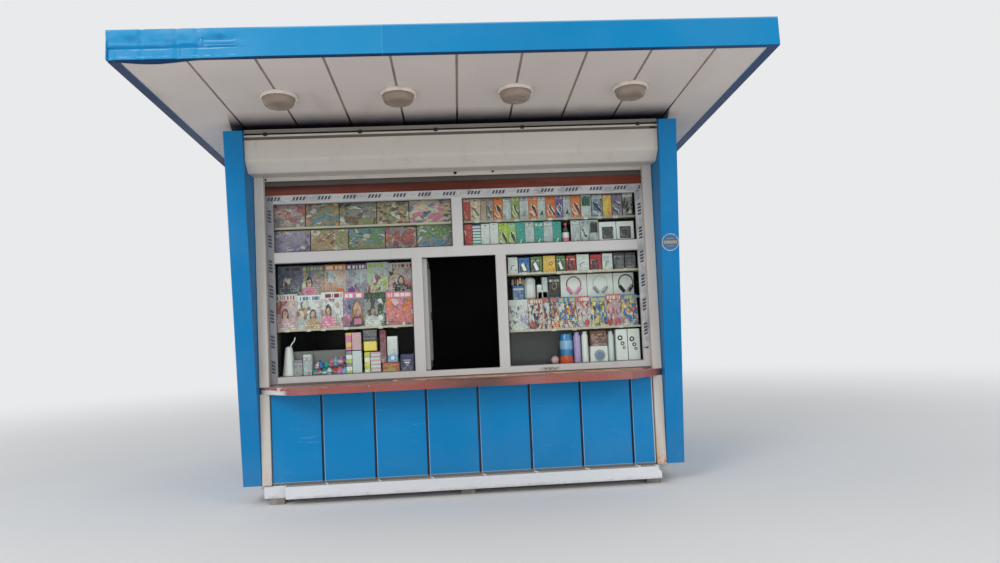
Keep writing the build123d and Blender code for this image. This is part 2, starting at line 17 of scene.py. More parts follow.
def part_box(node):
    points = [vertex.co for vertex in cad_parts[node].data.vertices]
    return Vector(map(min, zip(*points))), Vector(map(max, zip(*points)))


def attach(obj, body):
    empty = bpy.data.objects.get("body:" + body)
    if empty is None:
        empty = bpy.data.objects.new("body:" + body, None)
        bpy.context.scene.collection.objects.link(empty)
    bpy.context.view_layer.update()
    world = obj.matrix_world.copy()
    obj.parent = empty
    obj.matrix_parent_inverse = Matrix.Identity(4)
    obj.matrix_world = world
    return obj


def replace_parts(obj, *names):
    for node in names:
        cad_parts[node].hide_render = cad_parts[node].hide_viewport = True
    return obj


bl_info = {
    "name": "Street kiosk looks",
    "version": (1, 0, 0),
    "blender": (4, 5, 0),
    "location": "3D View > Sidebar > Kiosk",
    "description": "Finishes and fittings of a street kiosk with a canopy and a display window",
    "category": "Object",
}

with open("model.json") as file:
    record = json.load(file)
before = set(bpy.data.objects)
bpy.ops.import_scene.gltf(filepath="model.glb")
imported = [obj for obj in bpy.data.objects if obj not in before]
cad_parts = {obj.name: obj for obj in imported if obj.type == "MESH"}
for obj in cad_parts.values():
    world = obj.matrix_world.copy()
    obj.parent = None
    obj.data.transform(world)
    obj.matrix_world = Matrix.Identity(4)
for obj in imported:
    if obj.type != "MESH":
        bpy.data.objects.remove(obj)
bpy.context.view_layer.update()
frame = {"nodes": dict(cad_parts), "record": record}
SLOT_OF = {part["node"]: part["material_slot"] for part in frame["record"]["subparts"]}


def low(node):
    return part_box(node)[0]


def high(node):
    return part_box(node)[1]


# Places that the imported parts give
STREET = low("apron_wall").y
PANEL_FACE = low("apron_panels").y
ROOM = high("header_wall").x
POST = high("window_jambs").x
GLASS = high("window_rails").x
GLASS_FACE = low("glass_upper").y
HEAD_FOOT = high("glass_upper").z
HEAD_TOP = high("window_rails").z
SILL_TOP = low("glass_lower").z
TRANSOM_FOOT = low("window_transom").z
TRANSOM_TOP = high("window_transom").z
MULLION = -low("window_mullions").x
COUNTER_TOP = high("counter").z
GUIDE_FACE = low("shutter_guides").y
BOX_LOW, BOX_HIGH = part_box("shutter_box")
RAIL_LOW = low("awning_rail")
CLIP_FOOT, CLIP_TOP = low("rail_clips").z, high("rail_clips").z
RACK_FRONT = low("rack_shelves").y
FIN = high("right_wall").x
REAR = high("rear_wall_left").y

# Measures that the parts were drawn with, and what follows from them
BEAD = 0.006
SHEET, FLANGE, LIP = 0.006, 0.038, 0.040
BOARD = 0.41
FIRST_JOINT = -POST + 0.394
SOFFIT_GAP, SOFFIT_THICK = 0.016, 0.012
SOFFIT_SEAMS = [0.030 + BOARD * number for number in range(-4, 5)]
PITCH = math.radians(4.3)
EDGE_LOW, EDGE_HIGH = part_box("fascia_front")
ROOF_Y = EDGE_LOW.y + SHEET * math.sin(PITCH)
ROOF_Z = EDGE_LOW.z + FLANGE * math.sin(PITCH) + SHEET * math.cos(PITCH)
ROOF = Matrix.Translation((0, ROOF_Y, ROOF_Z)) @ Matrix.Rotation(-PITCH, 4, "X")
CANOPY = EDGE_HIGH.x
DECK_TOP = 0.178
HOLLOW = 0.026
BOWL_DEPTH = 0.083
CANOPY_LENGTH = (high("fascia_rear").y - ROOF_Y - (DECK_TOP + SHEET) * math.sin(PITCH)) / math.cos(PITCH)

# Heights of the goods' feet on the shelves, from the window's foot up
AT_FOOT, AT_CASES, AT_BOXES, AT_LOW, AT_HIGH = 0.976, 1.516, 1.738, 1.941, 2.181


def linear(colour):
    """Screen colour 0 to 1 as the shader wants it."""
    return [c / 12.92 if c <= 0.04045 else ((c + 0.055) / 1.055) ** 2.4 for c in colour[:3]] + [1.0]


def ink(red, green, blue):
    return linear((red / 255, green / 255, blue / 255))


INKS = {name: ink(*tone) for name, tone in {
    "white": (222, 222, 218), "pale": (198, 206, 205), "cream": (218, 203, 170), "grey": (142, 146, 150),
    "dark": (48, 45, 48), "black": (24, 24, 27), "red": (186, 50, 52), "wine": (120, 34, 52),
    "pink": (214, 120, 152), "rose": (200, 158, 164), "orange": (220, 118, 48), "yellow": (222, 196, 72),
    "lime": (176, 200, 60), "green": (84, 150, 74), "forest": (44, 92, 60), "teal": (52, 152, 142),
    "sky": (128, 174, 208), "blue": (50, 108, 176), "steel": (96, 118, 150), "navy": (36, 48, 92),
    "lilac": (168, 146, 192), "purple": (112, 70, 140), "tan": (178, 148, 112), "brown": (96, 62, 44),
    "olive": (134, 134, 84), "skin": (206, 164, 136), "dusk": (134, 128, 134), "moss": (86, 124, 62),
    "stone": (104, 101, 98), "cyan": (20, 118, 176), "vermilion": (206, 76, 34),
    "dull red": (172, 76, 66), "dull blue": (70, 124, 150),
}.items()}
STREETWARD = Vector((0, -1, 0))
TO_STREET = Matrix.Rotation(math.pi / 2, 4, "X")
OFF_MAP = (2.0, 2.0)
FINISHES = {}


# Node trees


class Nodes:
    """Short calls that add and join the nodes of one tree; base is its colour so far."""

    def __init__(self, tree):
        self.tree = tree
        self.shader = None
        self.base = None

    @cached_property
    def place(self):
        return self.add("ShaderNodeTexCoord").outputs["Object"]

    @cached_property
    def axes(self):
        return self.split(self.place)

    @cached_property
    def map(self):
        return self.add("ShaderNodeUVMap", uv_map="UVMap").outputs[0]

    def add(self, kind, feeds=None, **settings):
        node = self.tree.nodes.new(kind)
        for key, value in settings.items():
            setattr(node, key, value)
        for key, value in (feeds or {}).items():
            self.feed(node.inputs[key], value)
        return node

    def feed(self, socket, value):
        if isinstance(value, bpy.types.NodeSocket):
            self.tree.links.new(value, socket)
        elif value is not None:
            socket.default_value = value

    def give(self, **feeds):
        """Feeds the shader's inputs; an underscore stands for a space."""
        for key, value in feeds.items():
            self.feed(self.shader[key.replace("_", " ")], value)

    def calc(self, operation, *values):
        return self.add("ShaderNodeMath", dict(enumerate(values)), operation=operation).outputs[0]

    def chain(self, operation, values):
        total = values[0]
        for value in values[1:]:
            total = self.calc(operation, total, value)
        return total

    def most(self, *values):
        return self.chain("MAXIMUM", values)

    def times(self, *values):
        return self.chain("MULTIPLY", values)

    def plus(self, *values):
        return self.chain("ADD", values)

    def less(self, a, b):
        return self.calc("SUBTRACT", a, b)

    def ratio(self, a, b):
        return self.calc("DIVIDE", a, b)

    def fraction(self, value):
        return self.calc("FRACT", value)

    def vector(self, *parts):
        return self.add("ShaderNodeCombineXYZ", dict(enumerate(parts))).outputs[0]

    def vectors(self, operation, *values, out=0):
        return self.add("ShaderNodeVectorMath", dict(enumerate(values)), operation=operation).outputs[out]

    def stretched(self, vector, x, y, z):
        return self.vectors("MULTIPLY", vector, (x, y, z))

    def moved(self, vector, x, y, z):
        return self.vectors("ADD", vector, (x, y, z))

    def length(self, vector):
        return self.vectors("LENGTH", vector, out="Value")

    def split(self, vector):
        return self.add("ShaderNodeSeparateXYZ", {0: vector}).outputs

    def facing(self, start, end):
        """0 to 1 as the face's upward lean goes from start to end."""
        normal = self.add("ShaderNodeTexCoord").outputs["Normal"]
        return self.step(self.split(normal)[2], start, end)

    def noise(self, scale, detail=3.0, rough=0.5, distortion=0.0, at=None, out=0):
        """Noise over the place; a scale of three numbers stretches it along X, Y and Z."""
        at = at or self.place
        if isinstance(scale, tuple):
            at, scale = self.stretched(at, *scale), 1.0
        feeds = {"Vector": at, "Scale": scale, "Detail": detail, "Roughness": rough, "Distortion": distortion}
        return self.add("ShaderNodeTexNoise", feeds).outputs[out]

    def cells(self, scale, at=None, **settings):
        feeds = {"Vector": at or self.place, "Scale": scale}
        return self.add("ShaderNodeTexVoronoi", feeds, **settings).outputs

    def step(self, value, start, end, low_out=0.0, high_out=1.0):
        feeds = {0: value, 1: start, 2: end, 3: low_out, 4: high_out}
        return self.add("ShaderNodeMapRange", feeds, interpolation_type="SMOOTHSTEP").outputs[0]

    def patchy(self, scale, start, end, detail=3.0, rough=0.5, out=(0.0, 1.0), at=None, distortion=0.0):
        """Noise that steps from the first out to the second as it goes from start to end."""
        return self.step(self.noise(scale, detail, rough, distortion, at), start, end, *out)

    def within(self, value, start, end, soft):
        rise = self.step(value, start - soft, start + soft)
        fall = self.step(value, end - soft, end + soft, 1.0, 0.0)
        return self.times(rise, fall)

    def mix(self, share, a, b, blend="MIX"):
        feeds = {0: share, 6: a, 7: b}
        return self.add("ShaderNodeMix", feeds, data_type="RGBA", blend_type=blend).outputs[2]

    def over(self, tone, *shares):
        """Lays a tone over the colour so far, by the product of the shares."""
        tone = ink(*tone) if isinstance(tone, tuple) else tone
        self.base = self.mix(self.times(*shares), self.base, tone)
        if self.shader is not None:
            self.feed(self.shader["Base Color"], self.base)

    def group(self, name, **feeds):
        return self.add("ShaderNodeGroup", feeds, node_tree=bpy.data.node_groups[name]).outputs

    def bump(self, height, strength=0.6):
        feeds = {"Strength": strength, "Distance": 1.0, "Height": height}
        self.give(Normal=self.add("ShaderNodeBump", feeds).outputs[0])


def tree_with(name, kind, inputs, outputs):
    """A new node group with those sockets, and the calls to fill it."""
    tree = bpy.data.node_groups.new(name, kind)
    for label, socket_kind, default in inputs:
        socket = tree.interface.new_socket(label, in_out="INPUT", socket_type="NodeSocket" + socket_kind)
        if default is not None:
            socket.default_value = default
    for label, socket_kind in outputs.items():
        tree.interface.new_socket(label, in_out="OUTPUT", socket_type="NodeSocket" + socket_kind)
    n = Nodes(tree)
    return n, n.add("NodeGroupInput").outputs, n.add("NodeGroupOutput").inputs


def shader_group(name, inputs, **outputs):
    """A shader group; an input that starts as a float is a number, any other is a colour."""
    kinds = {label: "Float" if isinstance(start, float) else "Color" for label, start in inputs.items()}
    sockets = [(label, kinds[label], start) for label, start in inputs.items()]
    return tree_with(name, "ShaderNodeTree", sockets, outputs)


def build_weather_group():
    """Fading in patches, rain streaks, fine dust and splashed dirt near the ground."""
    inputs = {"Color": (0.5, 0.5, 0.5, 1), "Patches": 0.2, "Streaks": 0.2, "Dust": 0.2, "Splash": 0.3}
    n, given, out = shader_group("Weather film", inputs, Color="Color", Roughness="Float")
    n.base = given["Color"]
    patches = n.patchy(1.3, 0.42, 0.72, 5.0, 0.6)
    n.over(n.mix(0.35, given["Color"], ink(176, 184, 190)), patches, given["Patches"])
    tone = n.patchy(0.7, 0.35, 0.65, 2.0, out=(0.93, 1.04), at=n.moved(n.place, 7, 3, 1))
    grey = n.add("ShaderNodeCombineColor", {0: tone, 1: tone, 2: tone}).outputs[0]
    n.base = n.mix(1.0, n.base, grey, "MULTIPLY")
    runs = n.patchy((17, 17, 0.8), 0.5, 0.78, 4.0, 0.6)
    n.over((104, 98, 88), runs, n.patchy((2, 2, 1.4), 0.35, 0.6, 2.0), given["Streaks"], 0.7)
    specks = n.patchy(38.0, 0.42, 0.75, 6.0, 0.7)
    clouds = n.patchy(2.4, 0.3, 0.7, at=n.moved(n.place, 3, 5, 9))
    dust = n.times(n.most(specks, n.times(clouds, 0.6)), given["Dust"])
    n.over((168, 162, 150), dust, 0.55)
    height = n.plus(n.axes[2], n.times(n.noise(6.0, 6.0, 0.65), -0.5))
    splash = n.times(n.step(height, 0.24, -0.12), given["Splash"])
    n.over((120, 112, 100), splash, 0.8)
    n.feed(out["Color"], n.base)
    n.feed(out["Roughness"], n.most(n.times(dust, 0.5), n.times(splash, 0.5), n.times(patches, 0.14)))


def build_chip_group():
    """A mask of flaked or scraped paint: more of it where Amount is higher."""
    n, given, out = shader_group("Flaked paint", {"Amount": 0.3, "Scale": 14.0}, Mask="Float", Edge="Float")
    level = n.plus(n.noise(given["Scale"], 9.0, 0.66, 0.3), n.times(given["Amount"], 0.5))
    n.feed(out["Mask"], n.step(level, 0.72, 0.745))
    n.feed(out["Edge"], n.times(n.step(level, 0.69, 0.72), n.step(level, 0.72, 0.745, 1.0, 0.0)))


def build_rust_group():
    """Rust blooms with a dark core and an orange rim."""
    inputs = {"Amount": 0.3, "Scale": 20.0}
    n, given, out = shader_group("Rust bloom", inputs, Mask="Float", Color="Color", Height="Float")
    level = n.plus(n.noise(given["Scale"], 7.0, 0.62, 0.2), n.times(given["Amount"], 0.6))
    core = n.noise(55.0, 5.0, 0.7, at=n.moved(n.place, 4, 4, 4))
    n.feed(out["Mask"], n.step(level, 0.70, 0.86))
    n.feed(out["Color"], n.mix(n.step(core, 0.35, 0.7), ink(84, 46, 30), ink(170, 98, 56)))
    n.feed(out["Height"], n.times(core, n.step(level, 0.70, 0.80)))


def build_sheet_group():
    """Slow waves of thin sheet and the fine grain of its paint, as a height in metres."""
    n, given, out = shader_group("Sheet surface", {"Waves": 0.002, "Grain": 0.00005}, Height="Float")
    grain = n.times(n.noise(520.0, 2.0), given["Grain"])
    n.feed(out["Height"], n.plus(n.times(n.noise(2.3, 2.0), given["Waves"]), grain))


def build_wood_group():
    """Grain that runs along X, with darker cracks."""
    inputs = {"Light": (0.6, 0.5, 0.4, 1), "Dark": (0.2, 0.12, 0.07, 1), "Scale": 1.0}
    n, given, out = shader_group("Wood grain", inputs, Color="Color", Height="Float", Cracks="Float")
    bent = n.noise(1.4, 3.0, 0.5, 1.2, n.stretched(n.place, 1.2, 4, 4))
    shifted = n.vectors("ADD", n.place, n.vector(0.0, n.times(bent, 0.05), n.times(bent, 0.03)))
    along = n.stretched(shifted, 2.0, 55, 55)
    scaled = n.add("ShaderNodeVectorMath", {0: along, 3: given["Scale"]}, operation="SCALE").outputs[0]
    lines = n.noise(1.0, 6.0, 0.62, 0.4, scaled)
    cracks = n.patchy((0.5, 1.6, 1.6), 0.63, 0.70, at=scaled)
    n.base = n.mix(n.step(lines, 0.34, 0.66), given["Light"], given["Dark"])
    n.over((40, 30, 24), cracks, 0.8)
    n.feed(out["Color"], n.base)
    n.feed(out["Height"], n.less(n.times(lines, 0.4), cracks))
    n.feed(out["Cracks"], cracks)


PRINT_INPUTS = {
    "Ground": (0.8, 0.8, 0.8, 1), "Motif": (0.5, 0.1, 0.1, 1), "Accent": (0.1, 0.2, 0.5, 1), "Seed": 0.0,
    "Drawn": 0.5, "Scale": 7.0, "Bust": 1.0, "Title": 1.0, "Strokes": 0.0, "Scene": 0.0, "Haze": 0.08,
}


def draw_patches(n, given, field, v):
    """Drawn cells with dark outlines, or a plain ground with a skyline and blots."""
    ground, motif, accent = given["Ground"], given["Motif"], given["Accent"]
    warp = n.noise(3.4, 5.0, 0.6, at=field, out="Color")
    warped = n.vectors("MULTIPLY_ADD", warp, (0.45, 0.45, 0.0), field)
    pick = n.split(n.cells(given["Scale"], warped)["Color"])[0]
    edges = n.cells(given["Scale"], warped, feature="DISTANCE_TO_EDGE")["Distance"]
    n.base = ground
    for start, tone in (
        (0.28, motif), (0.46, accent), (0.60, n.mix(0.5, motif, ink(236, 226, 208))), (0.72, (214, 208, 190)),
        (0.84, n.mix(0.6, accent, ink(40, 40, 52))), (0.93, n.mix(0.5, ground, ink(230, 150, 60))),
    ):
        n.over(tone, n.step(pick, start, start + 0.01))
    n.over((52, 46, 50), n.step(edges, 0.07, 0.02), 0.55)
    drawn, n.base = n.base, ground
    n.over(motif, n.patchy(2.4, 0.40, 0.60, rough=0.6, at=field), 0.45)
    skyline = n.step(n.plus(v, n.times(n.noise(2.2, 2.0, at=field), 0.6)), 0.80, 0.70)
    n.over(n.mix(0.25, motif, ink(120, 112, 96)), skyline, given["Scene"])
    n.over(accent, n.patchy(2.3, 0.56, 0.60, 1.0, at=n.moved(field, 2, 7, 3)), given["Scene"], 0.9)
    shown = n.plus(n.noise(1.9, 1.0, at=n.moved(field, 3, 1, 5)), given["Drawn"])
    n.over(drawn, n.step(shown, 0.97, 1.0))


def draw_bust(n, given, field, u, v, dice):
    """A plain bust: hair behind, shoulders, hair round the head, and the head."""
    def oval(across, up, wide, tall):
        du = n.ratio(n.less(u, across), wide)
        dv = n.ratio(n.less(v, up), tall)
        return n.step(n.plus(n.times(du, du), n.times(dv, dv)), 1.06, 0.92)

    bust = n.times(given["Bust"], n.step(dice[2], 0.56, 0.60))
    middle = n.plus(n.times(dice[0], 0.34), 0.33)
    height = n.plus(n.times(dice[1], 0.14), 0.42)
    size = n.plus(n.times(dice[0], dice[1], 0.16), 0.095)
    hair = n.mix(n.step(dice[1], 0.35, 0.65), ink(50, 36, 34), ink(150, 108, 66))
    skin = n.mix(n.patchy(9.0, 0.4, 0.62, 2.0, at=field), ink(214, 172, 146), ink(160, 112, 92))
    behind = n.less(height, n.times(dice[0], 0.16))
    n.over(hair, bust, oval(middle, behind, n.times(size, 1.55), n.times(size, 2.2)))
    n.over(given["Accent"], bust, oval(middle, 0.0, 0.37, n.less(height, size)))
    crown = n.plus(height, n.times(size, 0.35))
    n.over(hair, bust, oval(middle, crown, n.times(size, 1.35), n.times(size, 1.25)))
    n.over(skin, bust, oval(middle, height, size, n.times(size, 1.15)))


def draw_words(n, given, field, u, v, dice):
    """Rows of dashes, an inset, and a band with a title of plain blocks."""
    row = n.calc("FLOOR", n.times(v, 15.0))
    at = n.vector(n.times(u, 15.0), n.times(row, 3.7), given["Seed"])
    lines = n.times(
        n.within(n.fraction(n.times(v, 15.0)), 0.25, 0.75, 0.1), n.patchy(1.0, 0.50, 0.54, 1.0, at=at),
        n.within(u, 0.08, 0.92, 0.01), n.step(v, n.less(0.50, n.times(dice[0], 0.3)), 0.15), given["Title"],
    )
    n.over(n.mix(n.step(dice[1], 0.4, 0.5), ink(236, 234, 226), ink(36, 34, 40)), lines, 0.7)
    side = n.step(dice[0], 0.45, 0.55, 0.08, 0.52)
    inset = n.step(u, side, n.plus(side, 0.01)), n.step(u, n.plus(side, 0.36), n.plus(side, 0.35))
    n.over(given["Motif"], *inset, n.within(v, 0.08, 0.24, 0.01), n.step(dice[1], 0.5, 0.55), given["Title"])
    filled = n.step(dice[1], 0.45, 0.5)
    n.over(n.mix(filled, given["Ground"], given["Motif"]), n.step(v, 0.815, 0.825), given["Title"])
    blocks = n.patchy((12, 0.01, 1), 0.45, 0.49, 1.0, at=field)
    title = n.times(n.within(v, 0.845, 0.955, 0.01), n.within(u, 0.06, 0.94, 0.01), blocks, given["Title"])
    n.over(n.mix(filled, given["Motif"], ink(236, 230, 214)), title)


def build_print_group():
    """A made-up printed front on the piece's map: patches, a bust, slanted strokes, dashes and a title."""
    n, given, out = shader_group("Printed front", PRINT_INPUTS, Color="Color")
    u, v, _ = n.split(n.map)
    seed = given["Seed"]
    drift = n.vector(n.times(seed, 3.1), n.times(seed, 1.7), seed)
    dice = [n.patchy(1.0, 0.36, 0.64, 0.0, at=n.moved(drift, 9 * k, 4, 2 * k)) for k in range(3)]
    field = n.vectors("ADD", n.map, drift)
    draw_patches(n, given, field, v)
    draw_bust(n, given, field, u, v, dice)
    tint = n.noise(7.0, 4.0, 0.7, at=n.moved(field, 8, 2, 6), out="Color")
    n.base = n.mix(0.16, n.base, tint, "OVERLAY")
    shade = n.noise(12.0, 4.0, 0.75, at=n.moved(field, 3, 3, 4))
    n.over((46, 40, 44), n.step(shade, 0.50, 0.68), 0.55)
    n.over((232, 228, 220), n.step(shade, 0.46, 0.32), 0.45)
    across = n.times(n.plus(n.times(u, 0.62), n.times(v, 1.25)), 1.7)
    slant = n.fraction(n.plus(across, n.times(n.noise(1.6, 1.0, at=field), 1.4)))
    region = n.times(n.within(v, 0.10, 0.66, 0.03), n.within(u, 0.12, 0.88, 0.02), given["Strokes"])
    n.over((34, 32, 38), region, n.within(slant, 0.10, 0.42, 0.04))
    n.over((226, 226, 222), region, n.within(slant, 0.46, 0.62, 0.03))
    draw_words(n, given, field, u, v, dice)
    n.over((112, 112, 108), given["Haze"])
    n.feed(out["Color"], n.base)


GROUPS = (
    build_weather_group, build_chip_group, build_rust_group,
    build_sheet_group, build_wood_group, build_print_group,
)


# Materials


def new_material(name):
    material = bpy.data.materials.new(name)
    material.use_nodes = True
    n = Nodes(material.node_tree)
    n.tree.nodes.clear()
    principled = n.add("ShaderNodeBsdfPrincipled")
    n.shader, n.lit = principled.inputs, principled.outputs[0]
    n.end = n.add("ShaderNodeOutputMaterial", {0: n.lit}).inputs[0]
    FINISHES[name] = material
    return n


def painted(name, colour, rough, patches, streaks, dust, splash, waves, grain=0.00004, gloss=0.25):
    """A material of weathered paint whose colour can be laid over; without waves it has no bump yet."""
    n = new_material(name)
    film = n.group("Weather film", Color=colour, Patches=patches, Streaks=streaks, Dust=dust, Splash=splash)
    n.base = film["Color"]
    rough = n.add("ShaderNodeMath", {0: film["Roughness"], 1: rough}, operation="ADD", use_clamp=True)
    n.give(Base_Color=n.base, Roughness=rough.outputs[0], Specular_IOR_Level=gloss)
    if waves:
        n.bump(n.group("Sheet surface", Waves=waves, Grain=grain)["Height"])
    return n


def blue_paint_material(colour):
    """Blue walls and fins, scraped near the ground, with painted shade that turns them near black inside the
    room.
    """
    n = painted("blue paint", colour, 0.36, 0.10, 0.10, 0.06, 0.10, 0.004, gloss=0.12)
    x, y, z = n.axes
    scraped = n.group("Flaked paint", Amount=n.step(z, 0.40, 0.1, 0.0, 0.20), Scale=21.0)
    n.over((96, 112, 128), scraped["Mask"], 0.8)
    # painted shade: the faces inside the room turn near black
    across = n.step(n.calc("ABSOLUTE", x), ROOM + 0.004, ROOM + 0.001)
    behind = n.step(y, STREET + 0.05, STREET + 0.056), n.step(y, REAR - 0.09, REAR - 0.098)
    n.over((20, 18, 18), across, *behind)


def panel_paint_material(colour):
    """Front panels: as the blue paint, with painted shade on the fold beside each joint, a bare fold line
    beside it that is partly wear and partly painted highlight, and pale strips at the right end and the foot.
    """
    n = painted("panel paint", colour, 0.33, 0.10, 0.05, 0.03, 0.05, 0.004, gloss=0.12)
    x, _, z = n.axes
    joint = n.fraction(n.ratio(n.plus(x, -FIRST_JOINT - 0.006), BOARD))
    # painted shade on the rounded folds beside each joint
    n.over((16, 40, 80), n.most(n.step(joint, 0.015, 0.011), n.step(joint, 0.985, 0.989)), 0.9)
    # the bare fold line beside each joint: partly wear, partly a painted highlight that is made brighter low
    # down
    worn = n.patchy((30, 30, 3), 0.25, 0.45)
    n.over((196, 198, 208), n.within(joint, 0.017, 0.024, 0.002), worn, n.step(z, 0.70, 0.35, 0.30, 0.75))
    n.over((198, 194, 188), n.step(x, POST - 0.017, POST - 0.014))
    foot = low("apron_panels").z
    n.over((150, 176, 196), n.step(z, foot + 0.006, foot + 0.003), 0.7)
    n.over((148, 186, 214), n.within(z, 0.25, 0.7, 0.1), n.patchy((3, 3, 24), 0.62, 0.70, 5.0, 0.7), 0.12)


def fascia_paint_material(colour):
    """Canopy edge: as the blue paint, with painted sheen, glints, shade and crease highlights where it is
    dented, painted shade where it looks down or droops, and a painted highlight along its top.
    """
    n = painted("fascia paint", colour, 0.30, 0.08, 0.06, 0.05, 0.0, 0.002, gloss=0.12)
    x, y, z = n.axes
    hit = n.step(x, -1.15, -1.55)
    # painted sheen: a pale haze on the upper part of the dented end
    painted_dent_sheen = n.patchy((4, 1, 9), 0.40, 0.66, 5.0, 0.65, distortion=0.5)
    n.over((96, 160, 200), hit, painted_dent_sheen, n.step(z, 3.08, 3.16), 0.45)
    # painted glints: small bright specks on the dented end
    n.over((196, 212, 222), n.patchy((26, 1, 40), 0.69, 0.73, 4.0, 0.6), hit, 0.8)
    # painted shade on the faces that look down and on the sheet that droops below its first edge
    edge = (ROOF @ Vector((0, 0, -SHEET))).z
    below = n.times(n.step(z, edge + 0.0035, edge + 0.0015), n.step(y, EDGE_HIGH.y + 0.02, EDGE_HIGH.y))
    n.over((18, 44, 82), n.most(n.facing(-0.55, -0.85), below), 0.96)
    drift = n.plus(z, n.times(n.less(n.noise((5, 0, 0)), 0.5), 0.016))
    left = n.step(x, -1.26, -1.34)
    # masks of painted highlight along the crease and along the low edge of the dent
    crease = n.times(
        n.within(drift, 3.0795, 3.0860, 0.0030), left, n.patchy((14, 1, 4), 0.34, 0.56, out=(0.35, 1.0)),
        n.patchy((2.6, 0, 0), 0.34, 0.56, 1.0, out=(0.25, 1.0)),
    )
    low_edge_highlight = n.times(n.within(drift, 3.033, 3.040, 0.0030), left, n.patchy((20, 1, 4), 0.44, 0.62), 0.6)
    # painted shade in a band just above the crease
    n.over((4, 92, 146), n.within(drift, 3.0865, 3.112, 0.004), left, 0.40)
    # painted shade: soft dark patches where the sheet is pushed in
    for spot_x, spot_z, reach in ((-1.915, 3.150, 0.062), (-1.405, 3.152, 0.058), (-1.70, 3.125, 0.045)):
        away = n.length(n.stretched(n.moved(n.place, -spot_x, 0, -spot_z), 1, 0, 2.4))
        n.over((4, 88, 140), n.step(away, reach, reach * 0.3), 0.40)
    # painted shade along two upright creases
    for start, foot, top, soft in ((-1.508, 3.10, 3.15, 0.006), (-1.641, 3.04, 3.085, 0.004)):
        n.over((4, 62, 110), n.within(x, start, start + 0.006, 0.0015), n.within(z, foot, top, soft), 0.6)
    # the painted highlights of the crease and of the low edge
    n.over((150, 200, 226), n.most(crease, low_edge_highlight), 0.55)
    # painted highlights along the two bars of the imprint
    bars = n.most(n.within(z, 3.127, 3.131, 0.0015), n.within(z, 3.098, 3.102, 0.0015))
    n.over((168, 206, 230), n.within(x, -1.492, -1.302, 0.003), bars, 0.42)
    # painted highlight along the top fold, weaker at the left end
    top = n.step(z, EDGE_HIGH.z - 0.014, EDGE_HIGH.z - 0.005)
    n.over((150, 200, 228), top, n.step(x, -1.3, -1.0, 0.2, 1.0), 0.45)
    n.over((0, 84, 150), n.step(x, -0.424, -0.420), 0.16)
    n.over((120, 180, 214), n.within(x, -0.425, -0.420, 0.001), 0.16)


def soffit_material(colour):
    """Pale boards, with painted shade that darkens them in front of the rail."""
    n = painted("soffit paint", colour, 0.55, 0.22, 0.0, 0.12, 0.0, 0.001, 0.00005)
    x, y, _ = n.axes
    # masks of painted shade: a dark band on the boards in front of the rail, soft towards the street and cut
    # off at the fins
    across = n.calc("ABSOLUTE", x)
    ragged = n.plus(y, n.times(n.noise(7.0, 4.0), 0.05))
    slant = n.less(across, n.times(n.less(y, STREET - 0.44), 0.2))
    ends = n.times(n.step(slant, 1.672, 1.664), n.step(across, FIN + 0.002, FIN - 0.002))
    n.over((22, 27, 44), n.times(n.step(ragged, STREET - 0.56, STREET - 0.21), ends), 0.97)
    n.over((150, 132, 116), n.patchy((2.2, 0.6, 1), 0.56, 0.72, 5.0, 0.6), 0.22)
    joint = n.fraction(n.ratio(n.plus(x, 2.02), BOARD))
    near_joint = n.most(n.step(joint, 0.035, 0.0), n.step(joint, 0.965, 1.0))
    n.over((110, 100, 92), near_joint, n.noise(8.0, 4.0), 0.5)


def joint_strip_material():
    """Brown-grey strip, with painted shade towards the shutter."""
    n = painted("joint strip", ink(156, 134, 124), 0.6, 0.2, 0.0, 0.2, 0.0, 0.0003)
    n.over((104, 86, 78), n.patchy((30, 5, 30), 0.35, 0.65, 4.0), 0.4)
    # painted shade towards the shutter, as on the boards beside it
    n.over((20, 18, 22), n.step(n.axes[1], STREET - 0.62, STREET - 0.36))


def post_paint_material(colour):
    """White posts under the counter with rust rising from the foot, stronger on the right."""
    n = painted("post paint", colour, 0.4, 0.2, 0.15, 0.12, 0.1, 0.0)
    x, _, z = n.axes
    side = n.step(x, -1.0, 1.0, 0.12, 1.0)
    rise = n.step(n.plus(z, n.times(n.noise(16.0, 6.0, 0.7), -0.30)), 0.16, -0.06)
    rust = n.group("Rust bloom", Amount=n.times(rise, side, 0.46), Scale=30.0)
    n.over((206, 160, 118), n.patchy((20, 20, 3.0), 0.40, 0.64, 5.0), n.step(z, 0.62, 0.20), side, 0.5)
    n.over((206, 124, 76), n.patchy(26.0, 0.42, 0.6, 5.0, 0.7), n.step(z, 0.30, 0.20), side, 0.75)
    n.over(rust["Color"], rust["Mask"], 0.9)
    n.bump(n.times(rust["Height"], 0.001), 0.8)


def white_metal_material(colour):
    """Painted aluminium of the shutter parts: fine brush lines and grey drip marks."""
    n = painted("shutter paint", colour, 0.34, 0.10, 0.08, 0.12, 0.2, 0.0012)
    n.over((120, 120, 118), n.noise((2, 120, 120)), 0.08)
    n.over((150, 144, 132), n.patchy((5, 5, 2), 0.54, 0.72, 6.0, 0.65), 0.3)


def plastic_material(colour):
    """White window plastic with grey hand marks and faint scribbles on the bars."""
    n = painted("window plastic", colour, 0.28, 0.06, 0.20, 0.16, 0.0, 0.0004, 0.00002)
    x, _, z = n.axes
    n.over((140, 132, 122), n.patchy((7, 3, 5), 0.55, 0.75, 6.0, 0.65), n.step(z, 1.9, 1.0), 0.24)
    strokes = n.within(n.noise((60, 1, 34), 2.0, 0.4, 2.2), 0.495, 0.515, 0.004)
    bars = n.within(n.calc("ABSOLUTE", x), 0.31, 0.36, 0.01)
    n.over((92, 92, 104), strokes, bars, n.within(z, 1.15, 1.75, 0.05), 0.35)
    smudge = n.patchy((26, 1, 80), 0.40, 0.55, 5.0, 0.7)
    n.over((92, 66, 44), n.within(x, 0.62, 0.77, 0.02), n.within(z, 0.938, 0.962, 0.006), smudge, 0.8)


